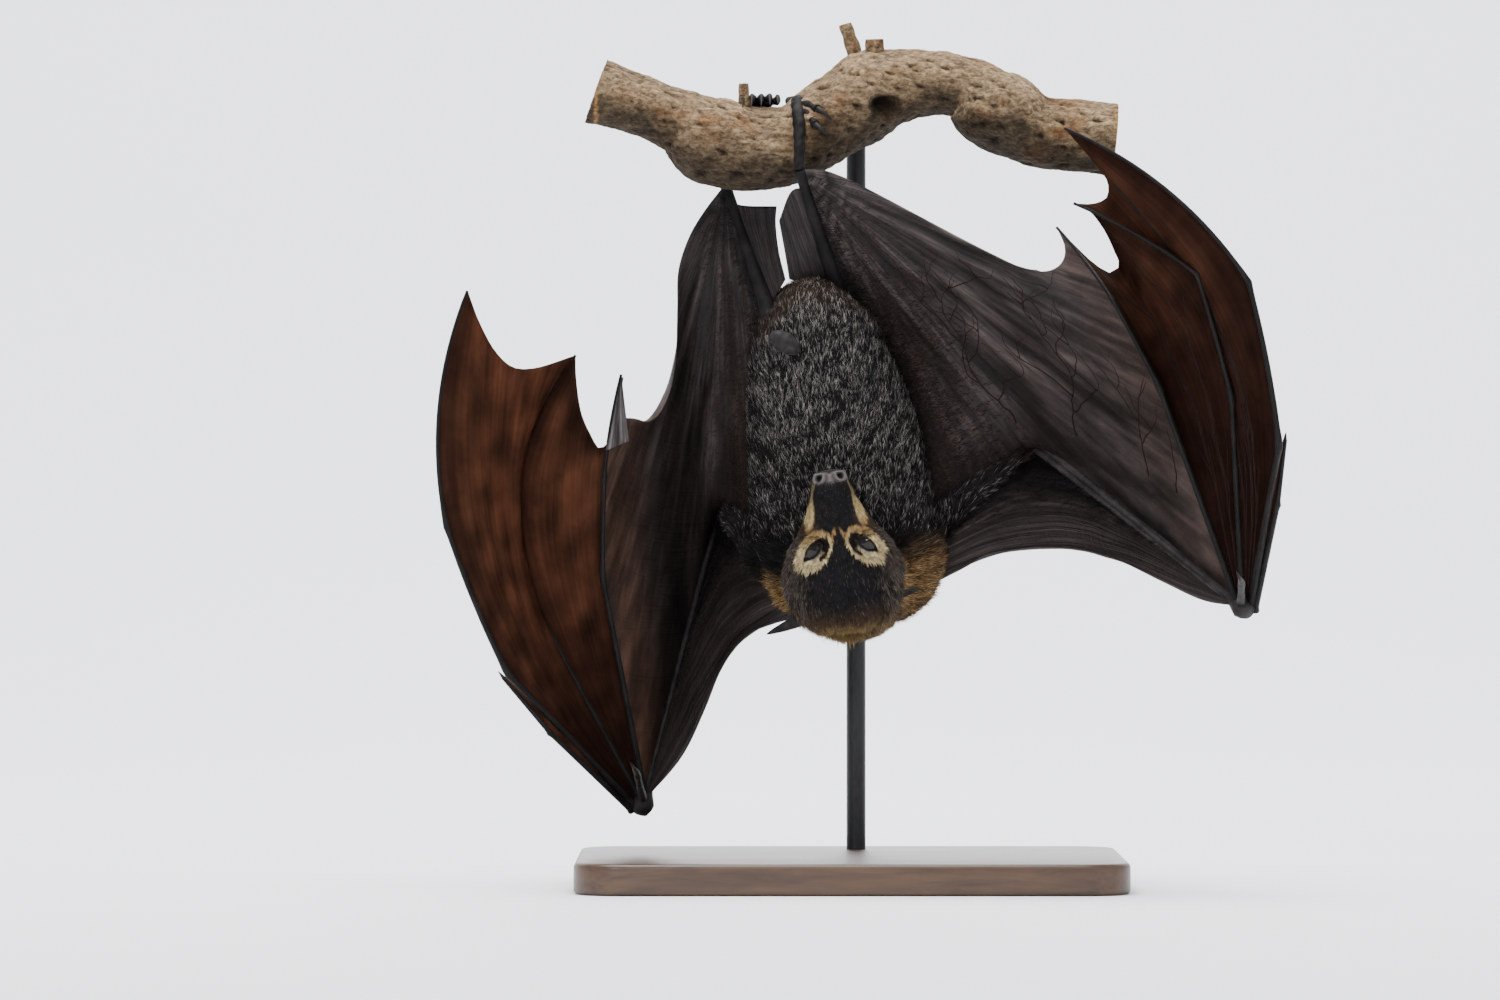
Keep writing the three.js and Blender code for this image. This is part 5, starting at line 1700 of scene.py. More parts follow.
def sampled(mesh: bpy.types.Mesh, count: int, weight: Callable[[Array], Array],
            rng: np.random.Generator) -> tuple[Array, Array]:
    """Random places over a mesh, thinned by a weight.

    Args:
        mesh: Where the places lie.
        count: How many.
        weight: Gives how thickly tufts grow at each point.
        rng: The random source.
    Returns:
        Points and normals.
    """
    mesh.calc_loop_triangles()
    index = np.zeros(len(mesh.loop_triangles) * 3, np.int32)
    mesh.loop_triangles.foreach_get("vertices", index)
    tris = index.reshape(-1, 3)
    points, normals = get_points(mesh), get_normals(mesh)
    a, b, c = (points[tris[:, k]] for k in range(3))
    area = np.linalg.norm(np.cross(b - a, c - a), axis=1) * np.maximum(weight((a + b + c) / 3), 0)
    chosen = rng.choice(len(tris), count, p=area / area.sum())
    r, s = np.sqrt(rng.random((count, 1))), rng.random((count, 1))
    shares = (1 - r, r * (1 - s), r * s)
    place = sum(points[tris[chosen, k]] * w for k, w in enumerate(shares))
    facing = unit(sum(normals[tris[chosen, k]] * w for k, w in enumerate(shares)))
    return place, facing


def gathered(points: Array, size: float, seed: int) -> tuple[Array, Array]:
    """The clump each point belongs to: its middle, and three random numbers of its own."""
    cell = np.floor(points / size).astype(np.int64)
    best = np.full(len(points), np.inf)
    middle, luck = np.zeros_like(points), np.zeros_like(points)
    for shift in np.ndindex(3, 3, 3):
        near = cell + np.array(shift) - 1
        key = np.bitwise_xor.reduce(near * MIX_CELL, axis=1) ^ seed * MIX_SEED
        numbers = []
        for k in range(6):
            mixed = (key + k * MIX_NEXT) & 0xFFFFFFFF
            mixed = ((mixed ^ (mixed >> 15)) * 2246822519) & 0xFFFFFFFF
            mixed = ((mixed ^ (mixed >> 13)) * 3266489917) & 0xFFFFFFFF
            numbers.append((mixed ^ (mixed >> 16)) / 4294967295.0)
        numbers = np.stack(numbers, axis=1)
        centre = (near + numbers[:, :3]) * size
        away = np.sum((centre - points) ** 2, axis=1)
        closer = away < best
        best[closer] = away[closer]
        middle[closer] = centre[closer]
        luck[closer] = numbers[closer, 3:]
    return middle, luck


class Coat:
    """Turns growth into sheets of thin, curved, overlapping tufts."""

    patch = 0.003

    def __init__(self, material: bpy.types.Material) -> None:
        """Keeps the hair's material."""
        self.material = material

    def build(self, kind: Tufts, growth: Growth, slot: str) -> bpy.types.Object:
        """One piece of the coat."""
        rng = np.random.default_rng(kind.seed)
        n = len(growth.roots)
        middle, luck = gathered(growth.roots, kind.clump, kind.seed)
        flow = (growth.flows
                - growth.normals * np.sum(growth.flows * growth.normals, axis=1)[:, None])
        side = np.cross(growth.normals, flow)
        turn = (luck[:, :1] - 0.5) * 2 * kind.stray + rng.normal(0, 0.3 * kind.stray, (n, 1))
        flow = unit(flow + side * turn)
        side = np.cross(growth.normals, flow)
        length = growth.length * (0.75 + 0.35 * luck[:, 1]) * rng.uniform(0.8, 1.15, n)
        rise = np.minimum(growth.rise * (0.5 + 0.5 * luck[:, 2]) * rng.uniform(0.55, 1.0, n),
                          0.85 * length)
        run = np.sqrt(length ** 2 - rise ** 2)
        inward = middle - growth.roots
        inward -= growth.normals * np.sum(inward * growth.normals, axis=1)[:, None]
        wide = kind.width * growth.thick * rng.uniform(0.6, 1.3, n)
        roll = rng.uniform(-0.7, 0.7, (n, 1))
        broad = side * np.cos(roll) + growth.normals * np.sin(roll)
        stops = np.linspace(0, 1, kind.segments + 1)
        rows = []
        for s in stops:
            line = (growth.roots + flow * (run * s)[:, None]
                    + growth.normals * (rise * (1 - (1 - s) ** 1.7))[:, None]
                    + inward * kind.gather * s ** 1.3)
            half = (wide * 0.5 * (1 - s ** 2) ** 0.8 * (0.75 + 0.5 * s))[:, None]
            rows.append(line if s == 1 else (line - broad * half, line + broad * half))
        per = 2 * kind.segments + 1
        points = np.zeros((n, per, 3))
        local = np.zeros((per, 2))
        for k, row in enumerate(rows[:-1]):
            points[:, 2 * k], points[:, 2 * k + 1] = row
            local[2 * k] = (-1, 2 * stops[k] - 1)
            local[2 * k + 1] = (1, 2 * stops[k] - 1)
        points[:, -1] = rows[-1]
        local[-1] = (0, 1)
        faces = []
        for k in range(kind.segments - 1):
            a = 2 * k
            faces += [(a, a + 1, a + 3), (a, a + 3, a + 2)]
        faces.append((per - 3, per - 2, per - 1))
        faces = (np.array(faces)[None] + (np.arange(n) * per)[:, None, None]).reshape(-1, 3)
        heights = np.append(np.repeat(stops[:-1], 2), 1.0)
        shade = np.maximum(1 + kind.patchy * (luck[:, 1] - 0.5) + rng.normal(0, 0.1, n), 0.2)
        tone = np.zeros((n, per, 3))
        for k, s in enumerate(heights):
            base = growth.color * (kind.root_dark + (1 - kind.root_dark) * min(1.6 * s, 1))
            tip = smoothstep(0.35, 0.95, np.full(n, s))[:, None]
            tone[:, k] = (base * (1 - tip) + growth.tip_color * tip) * shade[:, None]
        unwrap = growth.unwrap[:, None] + local[None] * self.patch / 2
        return self.piece(kind.name, points.reshape(-1, 3), faces,
                          np.clip(tone, 0.002, 1).reshape(-1, 3),
                          unwrap.reshape(-1, 2), slot)

    def piece(self, name: str, points: Array, faces: Array, tone: Array, unwrap: Array,
              slot: str) -> bpy.types.Object:
        """A mesh of tufts from its arrays."""
        mesh = bpy.data.meshes.new(name)
        mesh.vertices.add(len(points))
        mesh.loops.add(faces.size)
        mesh.polygons.add(len(faces))
        mesh.loops.foreach_set("vertex_index", faces.astype(np.int32).ravel())
        mesh.polygons.foreach_set("loop_start", np.arange(0, faces.size, 3, dtype=np.int32))
        mesh.polygons.foreach_set("use_smooth", np.ones(len(faces), bool))
        set_points(mesh, points)
        layer = mesh.uv_layers.new(name=COAT_MAP)
        layer.data.foreach_set("uv",
                               np.clip(unwrap, 0, 1)[faces.ravel()].astype(np.float32).ravel())
        paint(mesh, tone)
        mesh.validate()
        mesh.materials.append(self.material)
        piece = to_object(name, mesh)
        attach(piece, "root")
        LOG.info("%s: %d triangles", name, len(faces))
        return piece


def unrolled(angle: Array, along: Array, span: float) -> Array:
    """Places on the unit square: round by an angle, and along by a share of a span."""
    edge, inner = 0.02, 0.96
    around = edge + inner * (angle / (2 * math.pi) + 0.5)
    return np.stack([around, edge + inner * along / span], axis=1)


def around_trunk(points: Array) -> Array:
    """The trunk's unwrap: round it, and along it."""
    return unrolled(np.arctan2(points[:, 1] - 2, points[:, 0] + 7), points[:, 2] - 110, 215)


def around_head(head: Array) -> Array:
    """The head's unwrap: round it, and back from the nose."""
    return unrolled(np.arctan2(head[:, 1], head[:, 2]), head[:, 0] + 6, 96)


class Pelt:
    """Plans the whole coat: what grows where, how long, which way and in what colour."""

    def __init__(self, wings: dict, coat: Coat, fewer: int) -> None:
        self.wings = wings
        self.coat = coat
        self.fewer = fewer
        self.head_form = HeadForm()

    def limb_shares(self, points: Array) -> dict:
        """How near points are to each upper arm and thigh, and which way these run."""
        found = {}
        for side, wing in self.wings.items():
            for name, a, b, size in (("arm", wing.shoulder, wing.elbow, 13.0),
                                     ("thigh", np.array(LEGS[side].hip, float), wing.knee, 15.0)):
                along = np.clip((points - a) @ (b - a) / np.sum((b - a) ** 2), 0, 1)
                away = np.linalg.norm(points - (a + along[:, None] * (b - a)), axis=1)
                beyond = (1 - smoothstep(size - 2, size + 3, away)) * smoothstep(0.25, 0.5, along)
                found[name, side] = (beyond, unit(b - a), along)
        return found

    def collar(self, points: Array) -> Array:
        """How far a place belongs to the mantle round the neck."""
        near = to_head(points)
        nape = nape_rise(points)
        low = 1 - smoothstep(168, 182, points[:, 2] - nape + 4 * ripple(points, 20, 71))
        front = 1 - smoothstep(-14, 4, points[:, 1])
        ring = smoothstep(44, 58, near[:, 0])
        return np.clip(low * np.maximum(front * ring,
                                        1 - smoothstep(150, 168, points[:, 2] - nape)), 0, 1)

    def body(self, kind: Tufts, mesh: bpy.types.Mesh, where: Callable[[Array], Array]) -> None:
        """Grows a piece of the trunk's coat."""
        rng = np.random.default_rng(kind.seed + 100)
        points, normals = sampled(mesh, kind.count // self.fewer, where, rng)
        rump = np.array((-20.0, 2.0, 330.0))
        flow = unit(rump - points) * 0.5 + (0, 0, 1.0)
        flow = flow + 0.22 * swirl(points, (28, 72), (30, 73), (26, 74))
        length = np.full(len(points), 8.0)
        rise = np.full(len(points), 4.8)
        color = trunk_colors(points)
        frost = (smoothstep(-0.2, 0.8, ripple(points, 9, 75) + 0.3)
                 * smoothstep(168, 205, points[:, 2]))
        frost *= 1 - 0.5 * smoothstep(290, 306, points[:, 2])
        frost *= 1 - 0.75 * smoothstep(0, 20, points[:, 1])
        chance = rng.random(len(points)) < 0.09 + 0.33 * frost
        tip = np.where(chance[:, None], np.array(PELAGE.frost)
                       * rng.uniform(0.25, 1.0, (len(points), 1)), color * 1.3)
        for (name, _), (share, way, along) in self.limb_shares(points).items():
            flow = flow * (1 - share[:, None]) + way * share[:, None]
            arm = name == "arm"
            length = length * (1 - share) + (9.0 if arm else 7.0) * share
            rise = rise * (1 - share) + (6.0 if arm else 3.6) * share
            color = blended(color, PELAGE.umber,
                            (0.6 * smoothstep(0.6, 1.0, along) if arm else 0.8) * share)
            tip = blended(tip, PELAGE.umber,
                          (0.7 * smoothstep(0.6, 1.0, along) if arm else 0.5) * share)
        self.coat.build(kind, Growth(points, normals, flow, length, rise, color, tip,
                                     around_trunk(points)), "fur")

    def mantle(self, kind: Tufts, mesh: bpy.types.Mesh) -> None:
        """Grows the long collar that fans out from behind the head."""
        rng = np.random.default_rng(kind.seed + 100)
        points, normals = sampled(mesh, kind.count // self.fewer, self.collar, rng)
        centre = from_head((58, 0, 0))[0]
        radial = (points - centre) * (1, 0.25, 1)
        flow = unit(radial) + (0, 0.25, 0)
        flow = flow + 0.25 * swirl(points, (14, 76), (15, 77), (13, 78))
        n = len(points)
        color = mantle_colors(points + unit(flow) * 5.0)
        color = color * (0.12 + 1.15 * rng.random(n) ** 1.4)[:, None]
        bright = np.clip(color.sum(axis=1) * 2.6, 0, 1)
        tip = blended(color * 1.3, PELAGE.pale, 0.75 * bright * rng.random(n) ** 3)
        length = rng.uniform(9.0, 13.5, n)
        growth = Growth(points, normals, flow, length, np.full(n, 7.4), color, tip,
                        around_trunk(points))
        self.coat.build(kind, growth, "mantle")

    def head(self, kind: Tufts, mesh: bpy.types.Mesh, low: float, high: float) -> None:
        """Grows the head's coat between two distances back from the nose."""
        rng = np.random.default_rng(kind.seed + 100)

        def where(points: Array) -> Array:
            """How thickly hair grows over the face."""
            head = to_head(points)
            back = head[:, 0]
            grows = smoothstep(low, low + 3, back) * (1 - smoothstep(high - 2, high, back))
            for socket in self.head_form.sockets:
                offset = head - socket.centre
                out, forward = socket.opening(offset)
                bare = (np.linalg.norm(offset, axis=1) < 12) & (forward > -1.5) & (out < 1.2)
                grows = np.where(bare, 0, grows)
            return grows * (1.6 - 0.5 * smoothstep(10, 40, back))

        points, normals = sampled(mesh, kind.count // self.fewer, where, rng)
        head = to_head(points)
        back, aside, up = head.T
        ways = np.stack([np.ones(len(head)), 0.25 * aside / 20, 0.15 * up / 20], axis=1)
        for socket in self.head_form.sockets:
            offset = head - socket.centre
            near = 1 - smoothstep(7, 13, np.linalg.norm(offset, axis=1))
            ways += unit(offset) * near[:, None] * 0.9
        flow = head_way(ways)
        flow = flow + 0.12 * swirl(points, (12, 79), (11, 80), (13, 81))
        depth = self.head_form.depth(back)
        length = np.interp(back, (2, 12, 28, 42, 60, 82), (0.8, 1.8, 3.0, 4.8, 8.5, 12.0))
        cheek = smoothstep(14, 21, np.abs(aside)) * smoothstep(24, 36, back)
        length = length * (1 + 0.6 * cheek)
        thick = np.interp(back, (2, 20, 45, 82), (0.55, 0.75, 0.9, 1.25))
        for socket in self.head_form.sockets:
            close = 1 - smoothstep(8, 12, np.linalg.norm(head - socket.centre, axis=1))
            length = length * (1 - 0.55 * close)
        shown = points + unit(flow) * (0.6 * length)[:, None]
        color = face_colors(to_head(shown), shown)
        tip = color * 1.25
        greying = rng.random(len(head)) < 0.03 + 0.3 * cheek
        tip[greying] = tip[greying] * 0.4 + np.array(PELAGE.grey_tip) * 0.6
        rise = np.maximum(depth * 1.05, 0.35) * (1 + 0.7 * cheek)
        growth = Growth(points, normals, flow, length, rise, color, tip,
                        around_head(head), thick)
        self.coat.build(kind, growth, "fur")

    def wing_hair(self, kind: Tufts, side: Side) -> None:
        """Grows the sparse hair on the wing's skin beside the body and along the arm."""
        wing = self.wings[side]
        rng = np.random.default_rng(kind.seed + 100)
        n = kind.count // self.fewer
        u = np.clip(rng.beta(0.9, 4.6, n) * 0.55, 0.004, 0.99)
        v = np.clip(rng.beta(1.0, 1.6, n), 0.012, 0.98)
        hem = rng.random(n) < 0.25
        u = np.where(hem, np.clip(rng.beta(0.9, 3.0, n) * 0.36, 0.03, 1), u)
        v = np.where(hem, rng.uniform(0.02, 0.97, n), v)
        parts = WingSkin(wing)
        points, normal = parts.raised("wing_skin", u, v)
        other, facing = parts.raised("fore_skin", u, v)
        points = np.where(hem[:, None], other, points)
        normal = np.where(hem[:, None], facing, normal)
        towards = np.where(normal[:, 1:2] < 0, 1.0, -1.0)
        face = np.where(rng.random((n, 1)) < 0.7, towards, -towards)
        normals = normal * face
        points = points + normals * 0.2
        flow = unit(wing.wrist - wing.shoulder) + (0, 0, 0.45)
        flow = flow + rng.normal(0, 0.25, (n, 3))
        color = blended(np.tile(PELAGE.down[0], (n, 1)), PELAGE.down[1], rng.random(n))
        color = blended(color, PELAGE.black,
                        (1 - smoothstep(0.0, 0.10, u)) + (1 - smoothstep(0.03, 0.14, v)) * 0.8)
        color = blended(color, PELAGE.black, hem * (1 - smoothstep(0.1, 0.3, u)))
        length = rng.uniform(2.5, 6.0, n) * (1 - 0.5 * u / 0.62) * (1 + 0.6 * hem)
        growth = Growth(points, normals, flow, length, np.full(n, 1.6), color, color * 1.4,
                        around_trunk(points))
        self.coat.build(kind, growth, "fur")

    def grow(self, body: bpy.types.Mesh, head: bpy.types.Mesh) -> None:
        """Grows every piece of the coat."""
        upper = lambda p: smoothstep(216, 220, p[:, 2]) * (1 - 0.9 * self.collar(p))
        lower = lambda p: (1 - smoothstep(216, 220, p[:, 2])) * (1 - 0.85 * self.collar(p))
        front = lambda p: 1 - 0.65 * smoothstep(4, 24, p[:, 1])
        for number, (name, share) in enumerate((("belly", upper), ("rump", upper),
                                                ("chest", lower)), 1):
            kind = Tufts(f"coat_{name}", 64000, 2, 0.52, 1.9, 0.35, 0.42, number)
            self.body(kind, body, lambda p: share(p) * front(p))
        self.mantle(Tufts("coat_mantle_left", 60000, 2, 0.46, 2.8, 0.7, 0.4, 4, 0.25, 1.1), body)
        self.mantle(Tufts("coat_mantle_right", 60000, 2, 0.46, 3.4, 0.6, 0.5, 5, 0.25, 1.1), body)
        self.head(Tufts("coat_face", 62000, 2, 0.36, 1.5, 0.3, 0.22, 6, 0.7), head, 2.0, 50.0)
        self.head(Tufts("coat_crown", 62000, 2, 0.46, 2.3, 0.45, 0.28, 7, 0.55), head, 46.0, 84.0)
        for side in Side:
            self.wing_hair(Tufts(f"coat_wing_{side.value}", 22000, 2, 0.28, 3.0, 0.2, 0.5,
                                 8 + side.sign), side)


# ------------------------------------------------------------------ branch and stand
class Branch:
    """The cut length of branch, with stubs of twigs, a hollow knot and sawn ends."""

    knot = np.array((17.7, -19.0, 399.7))
    rings, around = 230, 112

    def place(self, t: Array, cos: Array, sin: Array) -> Array:
        """Points of the branch's bark."""
        x, z, radius = read_rows(BRANCH, t).T
        ahead = (read_rows(BRANCH, np.minimum(t + 0.01, 1))
                 - read_rows(BRANCH, np.maximum(t - 0.01, 0)))
        length = np.hypot(ahead[:, 0], ahead[:, 1])
        radius = radius * (1 + 0.05 * np.sin(19 * t + 2 * np.arctan2(sin, cos)))
        rise = sin * radius
        across = np.stack([-rise * ahead[:, 1] / length, cos * radius,
                           rise * ahead[:, 0] / length], axis=1)
        return np.stack([x, np.zeros_like(x), z], axis=1) + across

    def bark(self) -> bpy.types.Mesh:
        """The bark with its ridges, cracks and hollow, and its colours."""
        bm = loft(self.rings, self.around, self.place)
        for vert in (v for v in bm.verts if len(v.link_faces) > 20):
            vert.co = (sum((e.other_vert(vert).co for e in vert.link_edges), Vector())
                       / len(vert.link_edges))
        mesh = to_mesh("bark", bm)
        points, normals = get_points(mesh), get_normals(mesh)
        squeezed = points * (0.45, 1, 1)
        ridges = ripple(squeezed, 5.5, 91) + 0.5 * ripple(squeezed, 2.4, 92)
        lumps = ripple(points, 30, 93)
        crack = smoothstep(0.75, 1.25, -ridges)
        away = np.linalg.norm((points - self.knot) * (0.8, 0.6, 1.1), axis=1)
        hollow = 1 - smoothstep(2.5, 7.5, away)
        lip = np.exp(-((away - 8.5) / 2.2) ** 2)
        end = np.abs(points[:, :1] - BRANCH[[0, -1], 0]).min(axis=1)
        raised = ((0.55 * ridges + 0.9 * lumps - 1.1 * crack - 8.0 * hollow + 1.4 * lip)
                  * smoothstep(0, 3, end))
        set_points(mesh, points + normals * raised[:, None])
        # Painted shade: the bark is painted darker on its underside and lighter on top, as if lit
        # from above.
        under = 1 - 0.82 * smoothstep(-0.35, 0.55, -normals[:, 2] + 0.3 * lumps)
        light = np.clip(1.0 + 0.25 * lumps + 0.3 * ridges, 0.4, 1.6)[:, None]
        colors = np.tile(BARK_TINT, (len(points), 1)) * light
        colors = blended(colors, BARK_CRACK, 0.8 * crack)
        colors = blended(colors, BARK_HOLLOW, hollow)
        tan = 0.5 * smoothstep(0.25, 0.9, ripple(squeezed, 26, 94))
        colors = blended(colors, BARK_TAN, tan)
        colors = colors * under[:, None]
        colors = blended(colors, SAWN_WOOD, 1 - smoothstep(0.0, 1.2, end))
        paint(mesh, colors)
        return mesh

    def stubs(self) -> list[bpy.types.Mesh]:
        """The broken twigs."""
        made = []
        for foot, top, radius in TWIGS:
            width = lambda t: radius * (1.15 - 0.35 * t)
            mesh = to_mesh("twig", tube(straight(foot, top), width, 30, 28))
            points, normals = get_points(mesh), get_normals(mesh)
            rough = ripple(points * (1, 1, 0.3), 3.0, 95)
            set_points(mesh, points + normals * (0.3 * rough)[:, None])
            made.append(toned(mesh, TWIG_TAN, np.clip(1 + 0.3 * rough, 0.5, 1.5)))
        return made

    def build(self) -> None:
        """The branch as one piece."""
        piece = joined("branch", [self.bark(), *self.stubs()])
        piece.data.materials.clear()
        piece.data.materials.append(BarkFinish().material("bark"))
        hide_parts("perch")
        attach(piece, "root")


class Stand:
    """The display stand: a wooden base and a black steel rod and arm."""

    width, depth, height, corner, bevel = 280.0, 210.0, 16.0, 24.0, 2.5
    edge = 0.8

    def base(self) -> bpy.types.Object:
        """The base with rounded corners and a soft edge."""
        bm = bmesh.new()
        bmesh.ops.create_cube(bm, size=1.0)
        for vert in bm.verts:
            vert.co = Vector((vert.co.x * self.width, vert.co.y * self.depth,
                              (vert.co.z + 0.5) * self.height)) * MM
        upright = [e for e in bm.edges if abs(e.verts[0].co.z - e.verts[1].co.z) > 0.001]
        bmesh.ops.bevel(bm, geom=upright, offset=self.corner * MM, offset_type="OFFSET",
                        segments=20,
                        profile=0.5, affect="EDGES", material=-1)
        rim = [e for e in bm.edges if len(e.link_faces) == 2 and e.calc_face_angle(0) > 1.0]
        bmesh.ops.bevel(bm, geom=rim, offset=self.bevel * MM, offset_type="OFFSET", segments=5,
                        profile=0.5, affect="EDGES", material=-1)
        outward(bm)
        mesh = to_mesh("stand_plate", bm)
        mesh.materials.append(StandFinish().material("stained_wood"))
        piece = to_object("stand_plate", mesh)
        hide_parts("stand_base")
        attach(piece, "root")
        return piece

    def steel(self) -> None:
        """Rounded copies of the rod and the arm."""
        light, dark = (0.022, 0.022, 0.024), (0.012, 0.012, 0.013)
        black = StandFinish(light, dark, 0.42, (1, 1, 0.2), 0.6, 700.0)
        material = black.material("black_steel")
        for name in ("stand_rod", "stand_arm"):
            low, high = (np.array(c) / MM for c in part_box(name))
            middle, size = (low + high) / 2, high - low
            axis = int(np.argmax(size))
            start, end = middle.copy(), middle.copy()
            start[axis], end[axis] = low[axis], high[axis]
            radius, length = float(np.delete(size, axis).min() / 2), size[axis]
            path = straight(start, end)

            def crowded(t: Array) -> Array:
                """Places along the bar, closer together near its two ends."""
                return np.where(t < 0.5, (2 * t) ** 3 / 2, 1 - (2 - 2 * t) ** 3 / 2)

            def soft(t: Array) -> Array:
                """The bar's radius, rounded off at its ends."""
                t = crowded(t)
                near = np.maximum(1 - np.minimum(t, 1 - t) * length / self.edge, 0)
                return radius - self.edge * near ** 2

            mesh = to_mesh(f"{name}_round", tube(lambda t: path(crowded(t)), soft, 60, 48))
            mesh.materials.append(material)
            piece = to_object(mesh.name, mesh)
            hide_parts(name)
            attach(piece, "root")


# ------------------------------------------------------------------ the whole animal
class Bat:
    """The flying fox: one skin, its coat, its eyes and its claws."""

    def __init__(self) -> None:
        """Works out both wings."""
        self.wings = {side: Wing(side) for side in Side}

    def skin(self) -> tuple[bpy.types.Mesh, bpy.types.Mesh]:
        """Builds the one skin.

        Returns:
            Copies of its body and its head, which the coat grows on.
        """
        body, head = Flesh(self.wings).mesh(), HeadForm().mesh()
        hide = HideFinish().material("hide")
        arm_web = WebFinish(0.16, 0.0012, 0.34, 0.42).material("arm_web")
        hand_web = WebFinish(0.42, 0.0007, 0.12, 0.08, 0.0).material("hand_web")
        meshes = [body.copy(), head.copy(), sheath(), *(ear(side) for side in Side)]
        for side, wing in self.wings.items():
            parts = WingSkin(wing)
            meshes += parts.bones() + Foot(side).flesh()
            sheets = parts.sheets()
            for sheet in sheets:
                sheet.materials.append(hand_web if sheet.name.startswith("web") else arm_web)
            meshes += sheets + parts.veins()
        for mesh in meshes:
            if not mesh.materials:
                mesh.materials.append(hide)
        piece = joined("skin", meshes)
        flesh = ["belly", "chest", "neck", "head", "jaw", "sheath"]
        for side in Side:
            flesh += [f"{name}_{side.value}" for name in (
                "thigh", "ear", "shin", "foot", "upper_arm", "forearm", "digit2", "digit3",
                "digit4", "digit5", "thumb", "wing_skin", "web_4_5", "web_3_4", "fore_skin",
                "tail_skin")]
        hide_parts(*flesh)
        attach(piece, "root")
        LOG.info("skin: %d faces", len(piece.data.polygons))
        return body, head

    def claws(self) -> None:
        """Builds the claws of the feet, the thumbs and the second fingers."""
        horn = HornFinish().material("horn")
        for side, wing in self.wings.items():
            wrist, thumb = wing.knuckles["thumb"]
            ahead = unit(thumb - wrist)
            tip = reach(thumb, 10, (wing.plan.thumb[0][0] + 22, 55))
            meshes = Foot(side).claws() + [claw(thumb - ahead * 1.5, tip, thumb + (0, 20, 0), 1.7)]
            before, last = wing.knuckles["digit2"][-2:]
            ahead = unit(last - before)
            meshes.append(claw(last - ahead, last + ahead * 4.5, before - (0, 20, 0), 1.1))
            piece = joined(f"claws_{side.value}", meshes)
            piece.data.materials.append(horn)
            names = [f"claw_{side.value}_{i}" for i in range(1, 6)] + [f"thumb_claw_{side.value}"]
            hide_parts(*names)
            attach(piece, "root")

    def build(self) -> None:
        """Builds every piece of the animal."""
        body, head = self.skin()
        wet = EyeFinish().material("wet_eye")
        for side in Side:
            Eye(side).build(wet)
        self.claws()
        LOG.info("eyes and claws are made")
        pelt = Pelt(self.wings, Coat(HairFinish().material("hair")), 1)
        pelt.grow(body, head)


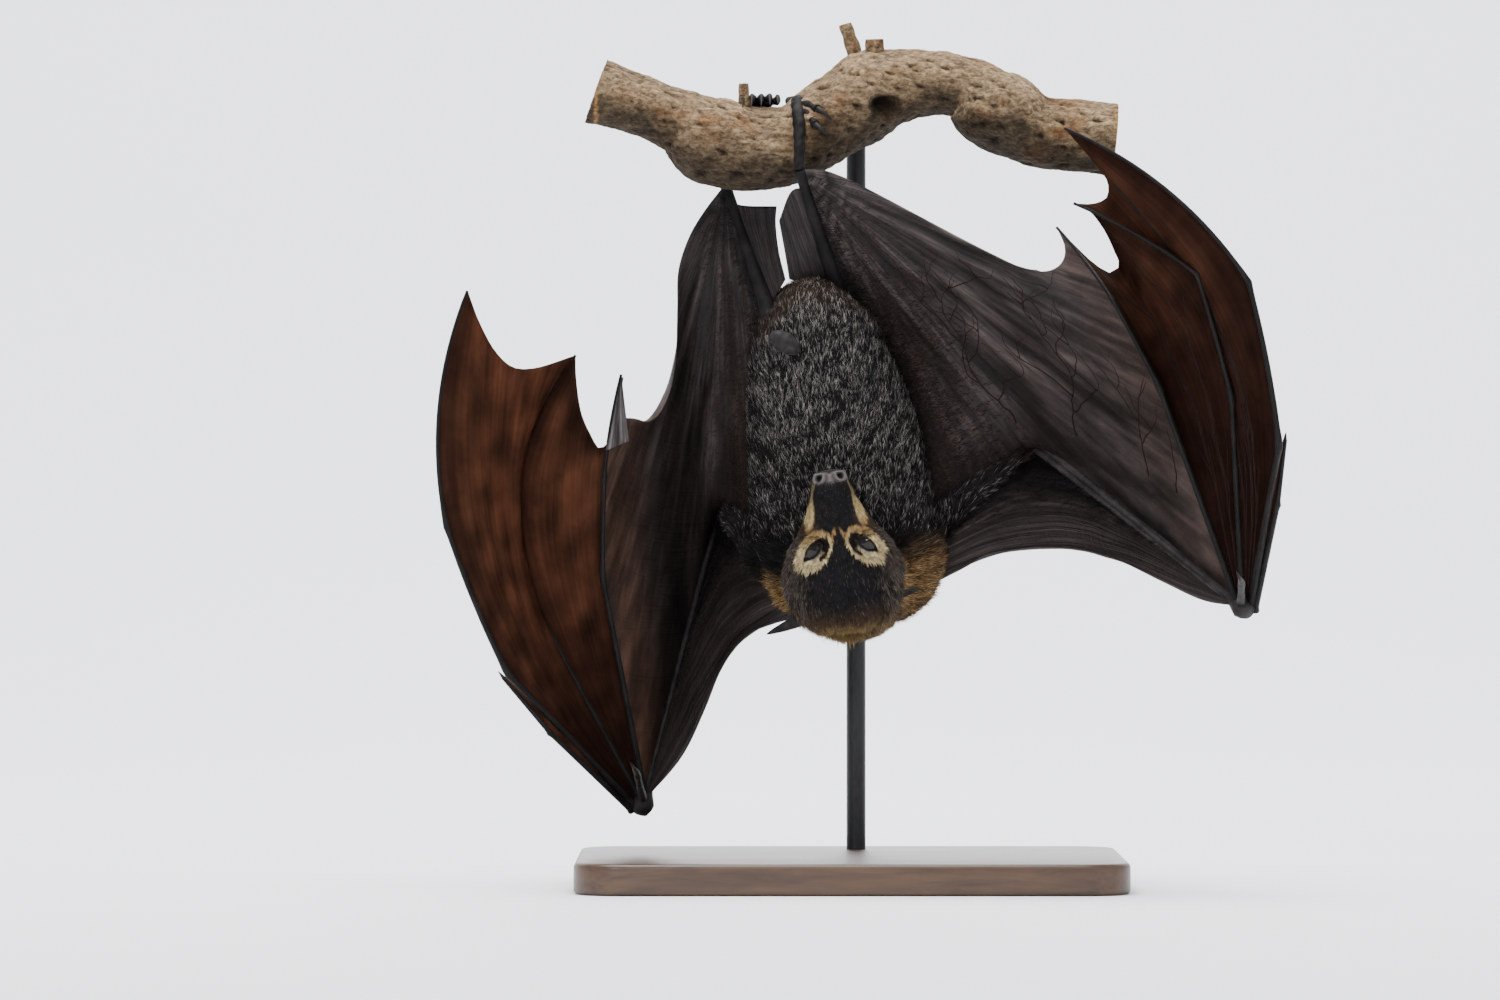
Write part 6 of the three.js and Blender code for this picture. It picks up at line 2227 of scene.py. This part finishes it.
# ------------------------------------------------------------------ studio
class Studio:
    """A pale floor that curves up into a backdrop, soft light and the camera."""

    floor: Color = (0.87, 0.88, 0.90)
    width, front, flat, bend, length, stretch = 14, -2.6, 4.0, 1.4, 7.0, 3
    # Each lamp: place, aim, size, power and colour, in metres and watts.
    lamps = {
        "sky": ((-0.3, -0.6, 2.6), (0, 0, 0.25), 1.8, 62, (1.0, 0.99, 0.97)),
        "window": ((-0.9, -3.2, 1.3), (0, 0, 0.25), 0.42, 34, (1, 1, 1)),
        "fill": ((2.2, -2.0, 0.9), (0, 0, 0.22), 1.2, 8, (1.0, 0.98, 0.96)),
        "behind": ((0.2, 5.2, 1.9), (0, 0, 0.25), 2.4, 110, (1.0, 0.98, 0.95)),
        "wash": ((0, 0.6, 3.6), (0, 2.8, 0.6), 3.0, 260, (0.97, 0.985, 1.0)),
    }

    def backdrop(self) -> None:
        """The floor and backdrop in one sheet, which is clear when seen from behind."""
        bm = bmesh.new()
        bmesh.ops.create_grid(bm, x_segments=2, y_segments=48, size=0.5)
        for vert in bm.verts:
            run = (vert.co.y + 0.5) * self.length
            turn = min(max(run - self.flat, 0) / self.bend, math.pi / 2)
            rise = max(run - self.flat - self.bend * math.pi / 2, 0)
            vert.co = Vector((
                vert.co.x * self.width,
                self.front + min(run, self.flat) + self.bend * math.sin(turn) * (run > self.flat),
                self.bend * (1 - math.cos(turn)) + rise * self.stretch))
        mesh = to_mesh("studio_floor", bm)
        nodes = Nodes("studio_paper").set(Roughness=0.9)
        soft = nodes.noise(nodes.place(), 3.0, 2.0)
        tint = nodes.ramp(soft, ((0.3, tuple(c * 0.985 for c in self.floor)), (0.7, self.floor)))
        material = nodes.wear(Base_Color=tint)
        facing = nodes.add("ShaderNodeNewGeometry").outputs["Backfacing"]
        clear = nodes.add("ShaderNodeBsdfTransparent")
        one_sided = nodes.add("ShaderNodeMixShader")
        nodes.link(facing, one_sided.inputs[0])
        nodes.link(nodes.shader.outputs[0], one_sided.inputs[1])
        nodes.link(clear.outputs[0], one_sided.inputs[2])
        nodes.link(one_sided.outputs[0], nodes.output.inputs["Surface"])
        mesh.materials.append(material)
        paper = to_object("studio_floor", mesh)
        paper.visible_shadow = False

    def light(self, name: str, place: Sequence[float], aim: Sequence[float], size: float,
              power: float, color: Color) -> None:
        """One soft square light."""
        data = bpy.data.lights.new(name, "AREA")
        data.energy, data.size, data.color = power, size, color
        lamp = bpy.data.objects.new(name, data)
        lamp.location = place
        lamp.visible_camera = False
        way = Vector(aim) - Vector(place)
        lamp.rotation_euler = way.to_track_quat("-Z", "Y").to_euler()
        bpy.context.scene.collection.objects.link(lamp)

    def camera(self) -> None:
        """The camera, level, in front of the animal."""
        data = bpy.data.cameras.new("camera")
        data.sensor_width = 36.0
        data.lens = 187.2
        camera = bpy.data.objects.new("camera", data)
        camera.location = (-0.05128, -4.0, 0.198)
        camera.rotation_euler = (math.pi / 2, 0, 0)
        bpy.context.scene.collection.objects.link(camera)
        bpy.context.scene.camera = camera

    def build(self) -> None:
        """Everything in the studio."""
        self.backdrop()
        for name, lamp in self.lamps.items():
            self.light(name, *lamp)
        world = bpy.data.worlds.new("studio_air")
        world.use_nodes = True
        air = world.node_tree.nodes["Background"]
        air.inputs["Color"].default_value = (0.93, 0.96, 1.0, 1)
        air.inputs["Strength"].default_value = 0.9
        bpy.context.scene.world = world
        self.camera()


def main() -> None:
    """Builds the studio, the branch, the stand and the animal."""
    logging.basicConfig(level=logging.INFO, format="%(name)s: %(message)s")
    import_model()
    Studio().build()
    Branch().build()
    stand = Stand()
    stand.base()
    stand.steel()
    LOG.info("branch and stand are made")
    Bat().build()


if __name__ == "__main__":
    main()
